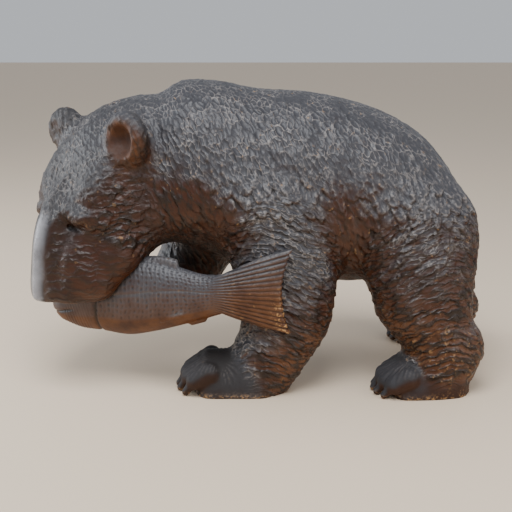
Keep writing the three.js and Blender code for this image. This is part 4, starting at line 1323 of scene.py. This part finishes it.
mouth = bump_at(level - MOUTH[1] - 0.25 * (station - MOUTH[0]), 1.2) * smooth(-160, -168, station)
fan = np.arctan2(level - FAN_HEIGHT, station - FAN_START)
rib = smooth(0.0, 0.5, 0.5 + 0.5 * np.cos(2 * np.pi * fan / RIB_ANGLE))
ribs = smooth(-46, -20, station) * (rib - 0.5)
from_root = (station - LEAF_ROOT[0], level - LEAF_ROOT[1])
leaf_along = (from_root[0] * LEAF[0] + from_root[1] * LEAF[1]) / (LEAF[0] ** 2 + LEAF[1] ** 2)
leaf_along = np.clip(leaf_along, 0.0, 1.0)
leaf_gap = np.hypot(from_root[0] - LEAF[0] * leaf_along, from_root[1] - LEAF[1] * leaf_along)
leaf = bump_at(leaf_gap, 1.0 + 2.0 * leaf_along) * smooth(0.0, 0.3, np.cos(angle))
back_fin = smooth(0.35, 0.1, near_middle) * (rise > 0) * stretch_of(-104, -72, -70, -66)
belly_fin = smooth(0.4, 0.1, near_middle) * (rise < 0) * stretch_of(-60, -56, -45, -41)
marks = {"nick": nick, "line": line, "gill": gill, "cheek_lines": cheek_lines, "mouth": mouth, "ribs": ribs,
         "leaf": leaf, "back_fin": back_fin, "belly_fin": belly_fin}
fish_relief = sum(height * marks[name] for name, height in MARK_HEIGHTS.items())
flat_fish = fish.reshape(-1, 3)
fish_normal = normals_of(flat_fish, fish_faces)
fish_points = flat_fish + fish_normal * fish_relief.reshape(-1, 1)
print("fish relief from", round(fish_relief.min(), 2), "to", round(fish_relief.max(), 2), "mm")

# %% [markdown]
# ## Finish of the salmon
# The fish has a painted grey sheen above. On its belly and the lower half of the fin the sheen is held back
# and a lighter red-brown of painted bounce light is laid on, and at the ends of the ribs wear shows bare
# wood. Shade is painted into its nicks, lines, gill and mouth, and where it meets the lips.

# %% Salmon piece
to_edge = fin_edge(level) - fish[..., 0]
in_mouth = smooth(3.0, 0.5, np.abs(bear(flat_fish))).reshape(station.shape)
fish_cut = normals_of(fish_points, fish_faces).reshape(fish.shape)
# Where the painted sheen is held back on the fish: the belly and the lower fin.
belly = smooth(-0.44, -0.58, rise) * smooth(-30, -50, station)
fin_below = smooth(-60, -10, station) * smooth(1.0, -0.3, rise)
fish_sheen_held_back = np.clip(belly + fin_below, 0, 1)
# Painted grey sheen on faces that look up.
fish_sheen = smooth(-0.6, 0.8, fish_cut[..., 2]) * (1 - 0.85 * fish_sheen_held_back)
# Painted shade in the nicks, the side line, the gill, the mouth, between the ribs and where the fish meets
# the lips.
fish_deep = 0.42 * nick + 0.4 * line + gill + 0.9 * mouth + 0.6 * smooth(0.0, -0.45, ribs) + in_mouth
between_nicks = (scaly - nick) * smooth(1.2, 1.9, repeats(station, SCALE_PITCH))
# Painted highlight on raised parts: between the nicks, along the line, on the ribs, the side fin and the back
# fin.
fish_ridge = (0.25 * between_nicks + 0.2 * line + 0.5 * smooth(0.2, 0.45, ribs) + 0.5 * leaf
              + 0.4 * back_fin)
fish_worn = smooth(16.0, 2.0, to_edge) * smooth(0.3, -0.7, rise) * smooth(0, 20, station)
fish_ridge = np.maximum(np.clip(fish_ridge, 0, 1), 1.6 * fish_worn * smooth(-0.1, 0.3, ribs))
# A lighter red-brown, more where painted light bounced from below is laid on the belly and the lower fin.
fish_pale = np.clip(0.3 + 0.45 * fish_sheen_held_back, 0, 1) * (1 - 0.5 * in_mouth)
# A faint painted highlight on the upper side.
fish_highlight = 0.06 * (1 - fish_sheen_held_back) * (1 - 0.6 * nick) * (1 - gill) * (1 - in_mouth)
fish_values = {"ridge": fish_ridge, "deep": np.clip(fish_deep, 0, 1), "painted_sheen": fish_sheen, "wear_and_brow_highlight": fish_worn,
               "pale": fish_pale, "painted_highlight": fish_highlight}
salmon_piece = made_piece("salmon", fish_points, fish_faces,
                          {name: value.ravel() for name, value in fish_values.items()}, wood)
print("salmon triangles:", 2 * len(fish_faces))
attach(salmon_piece, "root")
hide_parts("carved_bear")

# %% [markdown]
# ## Floor and light
# A plain pale floor, a bright even surround and three wide soft lamps: a window on the left, a ceiling
# above and in front, and a weak fill on the right. Lamps alone would leave the far side of such dark wood
# black.

# %% Floor
FLOOR = 6.0
PALE_FLOOR = (0.74, 0.60, 0.45, 1.0)
FLOOR_ROUGHNESS = 0.6
corners = [(-FLOOR, -FLOOR, 0), (FLOOR, -FLOOR, 0), (FLOOR, FLOOR, 0), (-FLOOR, FLOOR, 0)]
floor_mesh = bpy.data.meshes.new("floor")
floor_mesh.from_pydata(corners, [], [(0, 1, 2, 3)])
floor = bpy.data.objects.new("floor", floor_mesh)
bpy.context.collection.objects.link(floor)
floor_material = bpy.data.materials.new("pale_floor")
floor_material.use_nodes = True
floor_shader = floor_material.node_tree.nodes["Principled BSDF"]
floor_shader.inputs["Base Color"].default_value = PALE_FLOOR
floor_shader.inputs["Roughness"].default_value = FLOOR_ROUGHNESS
floor_mesh.materials.append(floor_material)
print("floor", 2 * FLOOR, "m wide")

# %% Light
SURROUND = (0.90, 0.94, 1.0, 1.0)
SURROUND_STRENGTH = 0.6
# Each lamp: place in millimetres, width in metres, watts, colour.
LAMPS = {
    "window": ((-1150, 150, 420), 0.6, 11.0, (0.90, 0.95, 1.0)),
    "ceiling": ((-150, -620, 1350), 0.8, 21.0, (0.95, 0.97, 1.0)),
    "fill": ((1000, -750, 520), 0.8, 6.0, (1.0, 0.97, 0.95)),
}
world = bpy.data.worlds.new("studio")
world.use_nodes = True
background = world.node_tree.nodes["Background"]
background.inputs["Color"].default_value = SURROUND
background.inputs["Strength"].default_value = SURROUND_STRENGTH
bpy.context.scene.world = world
for name, (place, size, power, colour) in LAMPS.items():
    lamp = bpy.data.lights.new(name, "AREA")
    lamp.size = size
    lamp.energy = power
    lamp.color = colour
    look_from(name, lamp, place, AIM)
print("soft lamps:", len(LAMPS))
